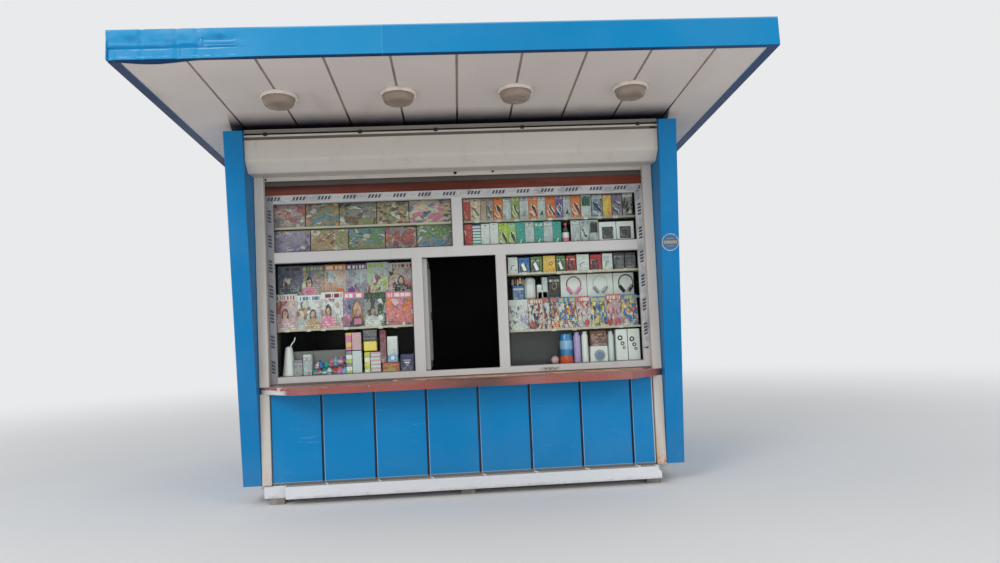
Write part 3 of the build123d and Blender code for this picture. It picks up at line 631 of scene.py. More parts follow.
def counter_material(colour):
    """Brown-red painted board: chipped pale ends, dark grime where hands rest, bare grain at the edge."""
    n = new_material("counter paint")
    x, _, z = n.axes
    wood = n.group("Wood grain", Light=ink(176, 148, 118), Dark=ink(120, 92, 66), Scale=1.0)
    n.base = n.group("Weather film", Color=colour, Patches=0.5, Streaks=0.1, Dust=0.4, Splash=0.0)["Color"]
    near_top = n.step(z, COUNTER_TOP - 0.012, COUNTER_TOP - 0.002, 0.12, 0.34)
    amount = n.most(near_top, n.step(x, -1.25, -1.55, 0.0, 0.35))
    flaked = n.group("Flaked paint", Amount=amount, Scale=17.0)["Mask"]
    # painted light: the faces that look up are made paler
    n.over((198, 150, 142), n.facing(0.55, 0.85), 0.5)
    n.over(n.mix(n.step(x, -1.2, -1.45), wood["Color"], ink(214, 206, 198)), flaked)
    below_top = n.step(z, COUNTER_TOP - 0.018, COUNTER_TOP - 0.026)
    n.over((216, 210, 204), n.step(x, -1.33, -1.40), n.patchy(22.0, 0.36, 0.46, 5.0), below_top)
    hands = n.patchy((3, 5, 12), 0.25, 0.60, 5.0, 0.6, (0.45, 1.0))
    n.over((68, 58, 58), n.within(x, -0.20, 0.36, 0.26), hands, 0.82)
    n.give(Roughness=n.plus(n.times(flaked, 0.25), 0.45), Specular_IOR_Level=0.25)
    n.bump(n.less(n.times(wood["Height"], 0.0006), n.times(flaked, 0.0010)), 0.8)


def lintel_material(colour):
    """Brown-red board, with painted shade up under the shutter box."""
    n = painted("lintel paint", colour, 0.55, 0.1, 0.0, 0.06, 0.0, 0.001, gloss=0.1)
    x, _, z = n.axes
    n.over((70, 36, 28), n.patchy((1.4, 1, 16), 0.40, 0.66, 5.0, 0.6), 0.6)
    # painted shade up under the shutter box, deeper to the left
    n.over((48, 30, 28), n.step(z, HEAD_TOP + 0.02, high("lintel_board").z), n.step(x, 1.3, -1.2), 0.8)


def wood_material(name, light, dark, scale, rough, height, strength=0.6):
    """Bare board of the wood grain."""
    n = new_material(name)
    wood = n.group("Wood grain", Light=ink(*light), Dark=ink(*dark), Scale=scale)
    n.base = wood["Color"]
    n.give(Roughness=rough)
    n.bump(n.times(wood["Height"], height), strength)
    return n


def board_materials():
    """The worn strip on the sill, and the floor."""
    n = wood_material("bare wood", (222, 176, 146), (168, 116, 92), 1.2, 0.75, 0.0015, 0.9)
    n.over((110, 80, 66), n.patchy((3, 12, 12), 0.48, 0.70, 6.0, 0.65), 0.45)
    n.over((150, 86, 76), n.group("Flaked paint", Amount=0.12, Scale=12.0)["Mask"])
    n = wood_material("floor board", (62, 54, 46), (38, 32, 28), 0.7, 0.8, 0.001)
    n.over((60, 56, 52), n.patchy(5.0, 0.45, 0.7, 6.0, 0.7), 0.5)


def base_steel_material(colour):
    """Galvanised cover and beams: spangle, dried splashes and rust from the ground up."""
    n = painted("base steel", colour, 0.42, 0.15, 0.12, 0.12, 0.0, 0.002)
    z = n.axes[2]
    n.over((150, 156, 162), n.cells(70.0)["Distance"], 0.14)
    n.over((112, 102, 90), n.step(n.plus(z, n.times(n.noise(11.0, 7.0, 0.7), -0.10)), 0.03, -0.03), 0.55)
    # the faces that look up turn greyer: partly dirt, partly painted shade
    n.over((186, 180, 172), n.facing(0.55, 0.85), n.patchy((4, 14, 14), 0.15, 0.5, 5.0, out=(0.75, 1.0)))
    rust = n.group("Rust bloom", Amount=n.step(z, 0.10, 0.05, 0.0, 0.18), Scale=16.0)
    n.over(rust["Color"], rust["Mask"], 0.7)


def rail_steel_material(colour):
    """Worn aluminium rail: pale upper strip, painted shade in brown on its lower part, and painted shade in
    its groove.
    """
    n = painted("rail steel", colour, 0.40, 0.3, 0.2, 0.4, 0.0, 0.0008)
    _, y, z = n.axes
    n.over((204, 198, 188), n.within(z, CLIP_FOOT - 0.0155, CLIP_FOOT + 0.0005, 0.0008), 0.8)
    # painted shade in brown under the pale strip, mottled
    foot = n.step(z, CLIP_FOOT - 0.0145, CLIP_FOOT - 0.0165)
    n.over((98, 86, 78), foot, n.patchy((3, 20, 20), 0.20, 0.55, 5.0, out=(0.6, 0.95)))
    # painted shade in the groove behind the front of the rail
    gap = n.within(z, CLIP_FOOT, CLIP_TOP, 0.0006)
    n.over((16, 14, 14), gap, n.step(y, RAIL_LOW.y + 0.006, RAIL_LOW.y + 0.010), 0.98)


def rusty_steel_material():
    n = new_material("rusty steel")
    rust = n.group("Rust bloom", Amount=0.55, Scale=34.0)
    grey = ink(126, 122, 116)
    n.base = n.group("Weather film", Color=grey, Patches=0.3, Streaks=0.2, Dust=0.4, Splash=0.0)["Color"]
    n.over(rust["Color"], rust["Mask"])
    n.give(Roughness=n.plus(n.times(rust["Mask"], 0.3), 0.5))
    n.bump(n.times(rust["Height"], 0.0008))


def inner_materials():
    """Hidden frame and wall cores, near black inside the room as painted shade, and the grey strip above the
    window, with painted shade under the canopy and inside.
    """
    n = painted("inner board", ink(92, 88, 84), 0.7, 0.3, 0.1, 0.4, 0.0, 0.001, 0.0001)
    # painted shade: the parts inside the room turn near black
    n.over((22, 20, 20), n.step(n.axes[1], STREET + 0.068, STREET + 0.072))
    n = painted("header sheet", ink(82, 77, 73), 0.6, 0.1, 0.1, 0.08, 0.0, 0.002, gloss=0.1)
    _, y, z = n.axes
    # painted shade above the rail under the canopy, and inside the room
    n.over((36, 38, 46), n.most(n.step(z, 2.82, 2.86), n.step(y, STREET + 0.066, STREET + 0.07)))


def rack_board_material():
    """Cream faced board: edge band on the front, dull grey on the upper right."""
    n = painted("rack board", ink(196, 188, 164), 0.45, 0.2, 0.0, 0.2, 0.0, 0.0003)
    x, y, z = n.axes
    n.over((168, 148, 112), n.noise((3, 60, 60), 4.0), 0.22)
    n.over((192, 182, 158), n.step(y, RACK_FRONT + 0.0035, RACK_FRONT + 0.002), 0.6)
    n.over((146, 146, 138), n.step(z, 1.90, 1.93), n.step(x, -0.03, 0.03), 0.7)


def glass_material():
    """Clear panes with faint smears, which let the lights' shadow and diffuse rays straight through."""
    n = new_material("window glass")
    smears = n.times(n.patchy((4, 1, 7), 0.5, 0.8, 5.0, 0.6), 0.6)
    tone = n.mix(smears, (0.93, 0.97, 0.95, 1), (0.86, 0.90, 0.88, 1))
    n.give(Base_Color=tone, Roughness=0.0, Transmission_Weight=1.0, IOR=1.1)
    path = n.add("ShaderNodeLightPath").outputs
    clear = n.add("ShaderNodeBsdfTransparent", {0: (0.94, 0.97, 0.96, 1)}).outputs[0]
    lets_through = n.most(path["Is Shadow Ray"], path["Is Diffuse Ray"])
    n.feed(n.end, n.add("ShaderNodeMixShader", {0: lets_through, 1: n.lit, 2: clear}).outputs[0])


def lamp_materials():
    """The lamps' plastic rings, and their ribbed milky bowls, yellowed and darkened as painted shade, with
    dust settled in the foot.
    """
    n = painted("lamp plastic", ink(226, 216, 208), 0.4, 0.2, 0.0, 0.2, 0.0, 0.0002)
    n.over((150, 138, 120), n.patchy(14.0, 0.5, 0.75, 5.0), 0.35)
    n = new_material("lamp bowl")
    cloud = n.patchy(9.0, 0.35, 0.7, 4.0)
    depth = n.vectors("DOT_PRODUCT", n.place, (0, math.sin(PITCH), math.cos(PITCH)), out="Value")
    foot = ROOF_Y * math.sin(PITCH) + ROOF_Z * math.cos(PITCH) - BOWL_DEPTH
    # the bowls' yellowed milky tone, darkened as painted shade
    n.base = n.mix(n.times(cloud, 0.4), ink(150, 133, 119), ink(134, 117, 103))
    dust = n.patchy(12.0, 0.30, 0.62, 4.0, out=(0.35, 1.0))
    n.over((106, 90, 78), n.step(depth, foot + 0.045, foot), dust, 0.45)
    n.give(Roughness=n.plus(n.times(cloud, 0.2), 0.25), Coat_Weight=0.2)
    n.bump(n.times(n.noise(160.0, 2.0), 0.0001))


def roof_sheet_material():
    n = painted("roof sheet", ink(150, 154, 156), 0.45, 0.4, 0.0, 0.5, 0.0, 0.003)
    rust = n.group("Rust bloom", Amount=0.1, Scale=6.0)
    n.over((112, 104, 92), n.patchy((3, 0.8, 1), 0.48, 0.7, 6.0, 0.65), 0.5)
    n.over(rust["Color"], rust["Mask"], 0.6)
    n.give(Metallic=0.2)


def door_materials(colour):
    """The rear door's paint, rubbed round the knob and near black inside as painted shade, and its worn
    metal.
    """
    n = painted("door paint", colour, 0.4, 0.2, 0.3, 0.2, 0.9, 0.002, gloss=0.1)
    leaf_low, leaf_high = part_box("door_leaf")
    near_knob = n.length(n.moved(n.place, -leaf_high.x + 0.06, -REAR, -leaf_low.z - 1.0))
    n.over((96, 88, 78), n.step(near_knob, 0.26, 0.06), n.patchy(16.0, 0.35, 0.65, 5.0), 0.5)
    # painted shade: the inner face of the door turns near black
    n.over((30, 28, 30), n.step(n.axes[1], leaf_high.y - 0.018, leaf_high.y - 0.024))
    n = new_material("door metal")
    worn = n.patchy(45.0, 0.4, 0.65, 5.0)
    tone = n.mix(worn, ink(150, 148, 142), ink(104, 100, 94))
    n.give(Base_Color=tone, Roughness=n.plus(n.times(worn, 0.25), 0.28), Metallic=1.0)
    n.bump(n.times(n.noise((300, 300, 30)), 0.0001))


def plain_materials():
    """Foot stone, seal rubber, dark slots, page edges and the ink of the price cards."""
    n = new_material("foot stone")
    clouds = n.noise(9.0, 6.0, 0.65)
    n.base = n.mix(n.step(clouds, 0.35, 0.65), ink(150, 144, 136), ink(104, 98, 92))
    n.over((190, 186, 178), n.step(n.cells(130.0)["Distance"], 0.35, 0.1), 0.4)
    n.give(Roughness=0.9)
    n.bump(n.times(clouds, 0.006), 0.7)
    n = new_material("seal rubber")
    dust = n.patchy(50.0, 0.45, 0.7, 4.0)
    n.base = ink(34, 34, 36)
    n.over((108, 104, 98), dust, 0.35)
    n.give(Roughness=n.plus(n.times(dust, 0.2), 0.6))
    n = new_material("dark slot")
    n.give(Base_Color=n.mix(n.noise(60.0, 4.0), ink(16, 16, 18), ink(44, 40, 38)), Roughness=0.7)
    n = new_material("page edges")
    lines = n.noise((20, 900, 20), 2.0)
    n.give(Base_Color=n.mix(lines, ink(224, 220, 206), ink(170, 164, 150)), Roughness=0.8)
    n.bump(n.times(lines, 0.0004))
    n = new_material("price card")
    which = n.step(n.calc("SINE", n.times(n.axes[0], 23.0)), -0.05, 0.05)
    n.base = n.mix(which, ink(206, 206, 198), ink(196, 190, 168))
    n.over((120, 110, 96), n.patchy((90, 1, 260), 0.55, 0.6, 2.0), 0.5)
    n.give(Roughness=0.5)


def film_material(mark_pitch):
    """Milky protective film with a plain dark mark at even steps on its map, greyer at the far left."""
    n = new_material("printed film")
    u, v, _ = n.split(n.map)
    step = n.fraction(n.plus(n.ratio(u, mark_pitch), n.times(v, -0.12)))
    strokes = n.within(n.fraction(n.times(step, 7.4)), 0.08, 0.74, 0.04)
    mark = n.times(n.within(step, 0.02, 0.558, 0.006), strokes, n.within(v, 0.26, 0.78, 0.03))
    small = n.times(n.within(step, 0.66, 0.92, 0.01), n.within(v, 0.46, 0.58, 0.03))
    worn = n.patchy(26.0, 0.24, 0.34, 5.0)
    n.base = n.mix(n.patchy(9.0, 0.4, 0.7, 4.0), ink(180, 180, 180), ink(146, 146, 150))
    n.over((100, 102, 110), n.step(n.axes[0], -POST + 0.066, -POST + 0.058, 0.0, 0.75))
    n.over((24, 28, 52), n.times(mark, worn), 0.94)
    n.over((100, 102, 114), n.times(small, worn), 0.4)
    n.give(Roughness=n.plus(n.times(n.noise(24.0), 0.2), 0.2))
    n.bump(n.times(n.noise((40, 40, 14), 4.0, 0.6), 0.002), 0.7)


def attribute(n, name):
    return n.add("ShaderNodeAttribute", attribute_name=name, attribute_type="GEOMETRY").outputs


def printed_material(name, rough, **settings):
    """A printed front whose three inks and seed come from the piece's own attributes."""
    n = new_material(name)
    inks = [attribute(n, key) for key in ("ground", "motif", "accent")]
    feeds = {label: made["Color"] for label, made in zip(("Ground", "Motif", "Accent"), inks)}
    seed = n.times(inks[0]["Alpha"], 40.0)
    tone = n.group("Printed front", Seed=seed, **feeds, **settings)["Color"]
    n.give(Base_Color=tone, Roughness=n.plus(n.times(n.noise(40.0), 0.15), rough), Specular_IOR_Level=0.3)
    n.bump(n.times(n.noise(14.0), 0.0015), 0.4)


def inked_material(name, rough, waves=0.0004, mottle=0.2, coat=0.0):
    """Plain moulded or folded goods in the colour of the 'ground' attribute, with rub marks."""
    n = new_material(name)
    n.base = attribute(n, "ground")["Color"]
    rubbed = n.times(n.patchy(34.0, 0.45, 0.75, 5.0, 0.65), mottle)
    n.over(n.mix(0.5, n.base, ink(150, 146, 140)), rubbed)
    n.give(Roughness=n.plus(n.times(rubbed, 0.5), rough), Coat_Weight=coat)
    n.bump(n.times(n.noise(60.0), waves), 0.5)


def sticker_material():
    """Round sticker: a thin cream ring and a plain worn band on blue, by distance from its middle."""
    n = new_material("round sticker")
    mapped = n.moved(n.map, -0.5, -0.5, 0)
    away = n.length(mapped)
    v = n.split(mapped)[1]
    n.base = n.mix(n.within(away, 0.0, 0.39, 0.008), ink(14, 96, 158), ink(52, 100, 136))
    worn_band = n.patchy((22, 3, 1), 0.36, 0.50, 2.0, at=mapped)
    n.over((178, 150, 96), n.within(v, -0.085, 0.085, 0.01), n.step(away, 0.40, 0.38), worn_band, 0.9)
    rows = n.within(n.calc("ABSOLUTE", v), 0.19, 0.23, 0.01)
    n.over((176, 160, 120), rows, n.step(away, 0.31, 0.29), 0.45)
    n.over((214, 206, 178), n.within(away, 0.455, 0.485, 0.006), n.patchy(90.0, 0.30, 0.52, 4.0, 0.7))
    n.give(Roughness=0.45)


PAINTS = (
    (blue_paint_material, "blue"), (panel_paint_material, "panels"), (fascia_paint_material, "fascia"),
    (soffit_material, "soffit"), (white_metal_material, "shutter"), (post_paint_material, "shutter"),
    (plastic_material, "plastic"), (counter_material, "counter"), (lintel_material, "lintel"),
    (base_steel_material, "base"), (door_materials, "door"),
)
PLAIN = (
    joint_strip_material, board_materials, rusty_steel_material, inner_materials, rack_board_material,
    glass_material, lamp_materials, roof_sheet_material, plain_materials, sticker_material,
)


def build_finishes(colours, sizes):
    """Builds the shared groups and every material of the kiosk."""
    for build in (*GROUPS, build_trees):
        build()
    for build, key in PAINTS:
        build(linear(getattr(colours, key)))
    for build in PLAIN:
        build()
    rail_steel_material(ink(124, 118, 110))
    film_material(sizes.mark_pitch)
    printed_material("printed cover", 0.35, Drawn=0.42, Scale=5.0, Scene=0.4)
    printed_material("printed comic", 0.35, Drawn=1.0, Scale=9.0, Bust=0.0, Title=0.75)
    picture = {"Drawn": 0.47, "Scale": 8.0, "Bust": 0.0, "Title": 0.0, "Scene": 1.0, "Haze": 0.26}
    printed_material("printed picture", 0.35, **picture)
    printed_material("printed pack", 0.30, Drawn=0.30, Scale=6.0, Bust=0.0, Title=0.8, Strokes=0.0)
    printed_material("printed card", 0.30, Drawn=0.34, Scale=6.0, Bust=0.0, Title=0.5, Strokes=0.9)
    inked_material("plain card", 0.42)
    inked_material("moulded plastic", 0.25, 0.0002, 0.15, 0.3)
    dress_nodes()


# Mesh making


class Maker:
    """A mesh in the making, with a map and three inks for the printed things on it."""

    def __init__(self, seed=5):
        self.bm = bmesh.new()
        self.map = self.bm.loops.layers.uv.new("UVMap")
        self.inks = [self.bm.loops.layers.float_color.new(key) for key in ("ground", "motif", "accent")]
        self.colours = [INKS["white"]] * 3
        self.dice = random.Random(seed)

    def dress(self, *names):
        """The inks of what is made next."""
        picked = [list(INKS[name]) for name in names]
        picked += [picked[-1]] * (3 - len(picked))
        picked[0][3] = self.dice.random()
        self.colours = picked

    def face(self, verts, slot=0, maps=None):
        made = self.bm.faces.new(verts)
        made.material_index = slot
        for i, loop in enumerate(made.loops):
            loop[self.map].uv = maps[i] if maps else OFF_MAP
            for layer, colour in zip(self.inks, self.colours):
                loop[layer] = colour

    def remap(self, mapped):
        """Gives each corner the map that mapped says for its place."""
        for face in self.bm.faces:
            for loop in face.loops:
                loop[self.map].uv = mapped(loop.vert.co)

    def block(self, start, end, edge=0.0, slot=0, front=None):
        """A chamfered box between two corners; front is the slot of its street face, which takes the map."""
        sizes = [b - a for a, b in zip(start, end)]
        edge = min(edge, *(size / 3 for size in sizes))
        points = {}
        for key in product((0, 1), repeat=3):
            corner = [(a, b)[side] for a, b, side in zip(start, end, key)]
            inward = [edge * (1 - 2 * side) for side in key]
            for axis in range(3):
                spot = [c + (0 if a == axis else inward[a]) for a, c in enumerate(corner)]
                points[(*key, axis)] = self.bm.verts.new(spot)

        def point(axis, which, side, side_a, side_b):
            key = [0, 0, 0]
            key[axis], key[(axis + 1) % 3], key[(axis + 2) % 3] = side, side_a, side_b
            return points[(*key, which)]

        for axis, side in product(range(3), (0, 1)):
            ring = [point(axis, axis, side, *sides) for sides in ((0, 0), (1, 0), (1, 1), (0, 1))]
            ring = ring if side else ring[::-1]
            if axis == 1 and side == 0 and front is not None:
                maps = [((p.co.x - start[0]) / sizes[0], (p.co.z - start[2]) / sizes[2]) for p in ring]
                self.face(ring, front, maps)
            else:
                self.face(ring, slot)
        if not edge:
            return
        for axis, side_a, side_b in product(range(3), (0, 1), (0, 1)):
            a, b = (axis + 1) % 3, (axis + 2) % 3
            ends = (0, a), (1, a), (1, b), (0, b)
            ring = [point(axis, which, side, side_a, side_b) for side, which in ends]
            self.face(ring if side_a == side_b else ring[::-1], slot)
        for key in product((0, 1), repeat=3):
            ring = [points[(*key, axis)] for axis in range(3)]
            self.face(ring if sum(key) % 2 else ring[::-1], slot)

    def slab(self, rows, offset, slot=0, rim=None):
        """A thin sheet through rows of points, with a back moved by offset; its front takes the map."""
        rim = slot if rim is None else rim
        front = [[self.bm.verts.new(p) for p in row] for row in rows]
        back = [[self.bm.verts.new(Vector(p) + Vector(offset)) for p in row] for row in rows]
        high_row, high_col = len(rows) - 1, len(rows[0]) - 1
        for i, j in product(range(high_row), range(high_col)):
            spots = ((i, j), (i, j + 1), (i + 1, j + 1), (i + 1, j))
            self.face([front[a][b] for a, b in spots], slot, [(b / high_col, a / high_row) for a, b in spots])
            self.face([back[a][b] for a, b in reversed(spots)], rim)
        ring = [(0, j) for j in range(high_col)] + [(i, high_col) for i in range(high_row)]
        ring += [(high_row, j) for j in range(high_col, 0, -1)] + [(i, 0) for i in range(high_row, 0, -1)]
        for (i, j), (k, m) in zip(ring, ring[1:] + ring[:1]):
            self.face([front[k][m], front[i][j], back[i][j], back[k][m]], rim)

    def loft(self, sections, slot=0):
        """A solid through rings of points, with flat ends."""
        rings = [[self.bm.verts.new(p) for p in section] for section in sections]
        size = len(rings[0])
        for one, two in zip(rings, rings[1:]):
            for i in range(size):
                self.face([one[i], one[(i + 1) % size], two[(i + 1) % size], two[i]], slot)
        self.face(rings[0][::-1], slot)
        self.face(rings[-1], slot)

    def lathe(self, profile, place, steps=32, slot=0, ripple=0.0, ribs=0):
        """A turned shape about the local Z of place; each profile point is (radius, height)."""
        rings = []
        for radius, height in profile:
            ring = []
            for i in range(steps if radius > 1e-6 else 1):
                turn = 2 * math.pi * i / steps
                reach = radius * (1 + ripple * math.cos(ribs * turn))
                spot = Vector((reach * math.cos(turn), reach * math.sin(turn), height))
                ring.append(self.bm.verts.new(place @ spot))
            rings.append(ring)
        for one, two in zip(rings, rings[1:]):
            for i in range(steps):
                j = (i + 1) % steps
                corners = [one[i % len(one)], one[j % len(one)], two[j % len(two)], two[i % len(two)]]
                unique = list(dict.fromkeys(corners))
                if len(unique) > 2:
                    self.face(unique, slot)

    def stand(self, profile, spot, steps, **more):
        """A turned shape that stands upright on a spot."""
        self.lathe(profile, Matrix.Translation(spot), steps, **more)

    def disc(self, x, z, y, radius, depth, ink_name, steps=20):
        """A raised round shape in plastic on a front."""
        self.dress(ink_name)
        profile = [(0, 0), (radius, 0), (radius, depth * 0.7), (radius * 0.9, depth), (0, depth)]
        self.lathe(profile, Matrix.Translation((x, y, z)) @ TO_STREET, steps, 2)

    def tube(self, path, radius, steps=8, slot=0):
        """A round bar through the points of path."""
        points = [Vector(p) for p in path]
        turns = [2 * math.pi * k / steps for k in range(steps)]
        sections, side = [], None
        for i, point in enumerate(points):
            ahead = (points[min(i + 1, len(points) - 1)] - points[max(i - 1, 0)]).normalized()
            side = (ahead.orthogonal() if side is None else side - ahead * side.dot(ahead)).normalized()
            other = ahead.cross(side)
            sections.append([point + radius * (math.cos(t) * side + math.sin(t) * other) for t in turns])
        self.loft(sections, slot)

    def bars(self, x0, x1, z0, z1, width, y0, y1, edge=0.001):
        """Four bars round an opening in the front, inside its edges."""
        for a, b in (
            ((x0, z0), (x1, z0 + width)), ((x0, z1 - width), (x1, z1)),
            ((x0, z0 + width), (x0 + width, z1 - width)), ((x1 - width, z0 + width), (x1, z1 - width)),
        ):
            self.block((a[0], y0, a[1]), (b[0], y1, b[1]), edge)

    def make(self, name, slot_name, *materials, smooth=None):
        """The finished piece, riding on the kiosk."""
        bmesh.ops.recalc_face_normals(self.bm, faces=self.bm.faces)
        mesh = bpy.data.meshes.new(name)
        self.bm.to_mesh(mesh)
        self.bm.free()
        for material in materials:
            mesh.materials.append(FINISHES[material])
        if smooth is not None:
            mesh.polygons.foreach_set("use_smooth", [True] * len(mesh.polygons))
            mesh.set_sharp_from_angle(angle=math.radians(smooth))
        return put(name, mesh, slot_name)


def put(name, mesh, slot_name):
    """An object of that mesh at the origin, riding on the kiosk."""
    if not len(mesh.polygons):
        raise RuntimeError(f"{name} came out empty")
    piece = bpy.data.objects.new(name, mesh)
    bpy.context.scene.collection.objects.link(piece)
    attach(piece, "root")
    return piece


# Geometry Nodes for what repeats


def screw_shapes(n, given):
    """A washer and a domed head on it."""
    radius, height = given["Radius"], given["Height"]
    thin = n.times(height, 0.3)
    cones = []
    for foot, top, depth in (
        (n.times(radius, 1.5), n.times(radius, 1.35), thin),
        (radius, n.times(radius, 0.6), n.times(height, 0.7)),
    ):
        feeds = {"Vertices": given["Sides"], "Radius Bottom": foot, "Radius Top": top, "Depth": depth}
        cones.append(n.add("GeometryNodeMeshCone", feeds).outputs["Mesh"])
    lifted = {"Geometry": cones[1], "Translation": n.vector(0.0, 0.0, thin)}
    return cones[0], n.add("GeometryNodeTransform", lifted).outputs[0]


def card_shapes(n, given):
    """A price card and the lip of its clear holder."""
    width, height = given["Width"], given["Height"]
    sizes = n.vector(width, height, 0.0008), n.vector(n.times(width, 1.06), 0.003, 0.003)
    card, lip = (n.add("GeometryNodeMeshCube", {"Size": size}).outputs["Mesh"] for size in sizes)
    lowered = {"Geometry": lip, "Translation": n.vector(0.0, n.times(height, -0.5))}
    return card, n.add("GeometryNodeTransform", lowered).outputs[0]


def build_repeat_tree(name, shapes, *inputs):
    """A tree that puts the shapes on each place, turned to face the way its 'facing' attribute says."""
    sockets = (("Geometry", "Geometry", None), *inputs, ("Material", "Material", None))
    n, given, out = tree_with(name, "GeometryNodeTree", sockets, {"Geometry": "Geometry"})
    joined = n.add("GeometryNodeJoinGeometry")
    for shape in shapes(n, given):
        n.feed(joined.inputs[0], shape)
    stored = n.add("GeometryNodeInputNamedAttribute", {"Name": "facing"}, data_type="FLOAT_VECTOR")
    facing = stored.outputs["Attribute"]
    turned = n.add("FunctionNodeAlignRotationToVector", {"Vector": facing}, axis="Z").outputs[0]
    feeds = {"Points": given["Geometry"], "Instance": joined.outputs[0], "Rotation": turned}
    placed = n.add("GeometryNodeInstanceOnPoints", feeds).outputs[0]
    plain = n.add("GeometryNodeRealizeInstances", {0: placed}).outputs[0]
    finished = n.add("GeometryNodeSetMaterial", {"Geometry": plain, "Material": given["Material"]})
    n.feed(out["Geometry"], finished.outputs[0])


def build_trees():
    screw = ("Radius", "Float", 0.006), ("Height", "Float", 0.003), ("Sides", "Int", 10)
    build_repeat_tree("Screw heads", screw_shapes, *screw)
    build_repeat_tree("Price cards", card_shapes, ("Width", "Float", 0.045), ("Height", "Float", 0.028))


def repeated(name, tree_name, places, slot_name, **values):
    """The piece that a geometry tree makes on those (point, facing) places."""
    seed = bpy.data.meshes.new(name + "_places")
    seed.from_pydata([p for p, _ in places], [], [])
    facing = seed.attributes.new("facing", "FLOAT_VECTOR", "POINT")
    facing.data.foreach_set("vector", [c for _, f in places for c in f])
    holder = bpy.data.objects.new(name + "_places", seed)
    bpy.context.scene.collection.objects.link(holder)
    tree = bpy.data.node_groups[tree_name]
    modifier = holder.modifiers.new("made", "NODES")
    modifier.node_group = tree
    for item in tree.interface.items_tree:
        if item.in_out == "INPUT" and item.name in values:
            modifier[item.identifier] = values[item.name]
    bpy.context.view_layer.update()
    mesh = bpy.data.meshes.new_from_object(holder.evaluated_get(bpy.context.evaluated_depsgraph_get()))
    bpy.data.objects.remove(holder)
    for attribute_left in [a for a in mesh.attributes if a.name == "facing"]:
        mesh.attributes.remove(attribute_left)
    mesh.name = name
    put(name, mesh, slot_name)


# Pieces


def lerp(a, b, t):
    return a + (b - a) * t


def smooth(t):
    t = max(0.0, min(1.0, t))
    return t * t * (3 - 2 * t)


def arc(x, y, z, wide, tall, turns):
    """Points on an oval that stands in the plane of the front."""
    return [(x + wide * math.cos(a), y, z + tall * math.sin(a)) for a in turns]


def dress_nodes():
    """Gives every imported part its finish: its own, or its slot's, which mostly has the slot's name."""
    for name, node in frame["nodes"].items():
        slot = SLOT_OF[name]
        finish = OWN_FINISH.get(name) or SLOT_FINISH.get(slot) or slot.replace("_", " ")
        node.data.materials.clear()
        node.data.materials.append(FINISHES[finish])


SLOT_FINISH = {"frame_steel": "inner board", "door_hardware": "door metal", "lamp_glass": "lamp bowl"}
OWN_FINISH = {
    "apron_panels": "panel paint", "corner_posts": "post paint", "header_wall": "header sheet",
    "fascia_left": "fascia paint", "fascia_right": "fascia paint", "fascia_rear": "fascia paint",
    "fascia_front": "fascia paint",
}


def dent_depth(x, w):
    """How far the canopy's front sheet is pushed in at x along it and w up it."""
    waves = 0.0012 * (1 + noise.noise(Vector((x * 1.7, w * 6, 3))))
    hit = smooth((-1.12 - x) / 0.35)
    crease = 0.076 + 0.007 * math.sin(7 * x) + 0.05 * max(0.0, -1.9 - x)
    below = smooth((crease - w) / 0.012)
    push = 0.011 * below * (1 - 0.55 * smooth((crease - w) / 0.09))
    above = 0.006 * smooth((w - crease) / 0.02) * (1 - smooth((w - crease) / 0.07))
    buckle = 0.006 * (1 + noise.noise(Vector((x * 6.5, w * 14, 7)))) * smooth((0.165 - w) / 0.05)
    ridges = sum(0.006 * max(0.0, 1 - abs(x - at) / 0.022) for at in (-1.652, -1.529, -1.86))
    imprint = 0.005 * smooth((0.112 - abs(x + 1.425)) / 0.012) * smooth((0.024 - abs(w - 0.10)) / 0.006)
    corner = 0.034 * smooth((-2.015 - x) / 0.05) * smooth((0.085 - w) / 0.06)
    return min(waves + hit * (push + above + buckle + ridges) + imprint + corner, HOLLOW - SHEET)


def edge_outline(x):
    """The front sheet's folded outline at x, as points (v along the roof, w above it)."""
    thick = SHEET * 0.6
    web = [i / 14 for i in range(15)]
    droop = 0.012 * smooth(1 - abs(x + 1.80) / 0.30)
    torn = 0.030 * smooth((-2.03 - x) / 0.04)
    rim, top = FLANGE - torn, DECK_TOP + SHEET
    outline = [(rim, -SHEET - droop * 1.6 + torn * 0.8), (0.004, -SHEET - droop * 0.3)]
    outline += [(0.0, lerp(-SHEET + 0.004, DECK_TOP + 0.002, t)) for t in web]
    outline += [(0.004, top), (LIP, top), (LIP, top - thick), (thick + 0.003, top - thick)]
    outline += [(thick, lerp(DECK_TOP - 0.002, 0.002, t)) for t in web]
    outline += [(thick + 0.004, -SHEET + thick - droop * 0.3)]
    return outline + [(rim, -SHEET + thick - droop * 1.6 + torn * 0.8)]


def build_front_edge(sizes):
    """The canopy's front sheet, bent and dented at its left end, where its stations stand closer."""
    sheet = Maker()
    turn = -1.05
    stations = [-CANOPY + (CANOPY + turn) * i / 72 for i in range(72)]
    stations += [turn + (CANOPY - turn) * i / 90 for i in range(91)]
    sections = []
    for x in stations:
        ring = []
        for v, w in edge_outline(x):
            inward = dent_depth(x, w) if v < 0.02 else dent_depth(x, 0.0) * (1 - v / FLANGE) * (w < 0.1)
            ring.append(ROOF @ Vector((x, v + inward * sizes.dent, w)))
        sections.append(ring)
    sheet.loft(sections)
    piece = sheet.make("canopy_front_sheet", "blue_paint", "fascia paint", smooth=32)
    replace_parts(piece, "fascia_front")


def lamp_places():
    """Where each lamp stands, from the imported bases: a frame whose Z points down out of the canopy."""
    spots = [v.co.x for v in frame["nodes"]["lamp_bases"].data.vertices]
    start = min(spots) + 0.12
    pitch = (max(spots) - min(spots) - 0.24) / 3
    along = ((low("lamp_bases").y + high("lamp_bases").y) / 2 - ROOF_Y) / math.cos(PITCH)
    over = Matrix.Rotation(math.pi, 4, "X")
    return [ROOF @ Matrix.Translation((start + pitch * i, along, 0)) @ over for i in range(4)]


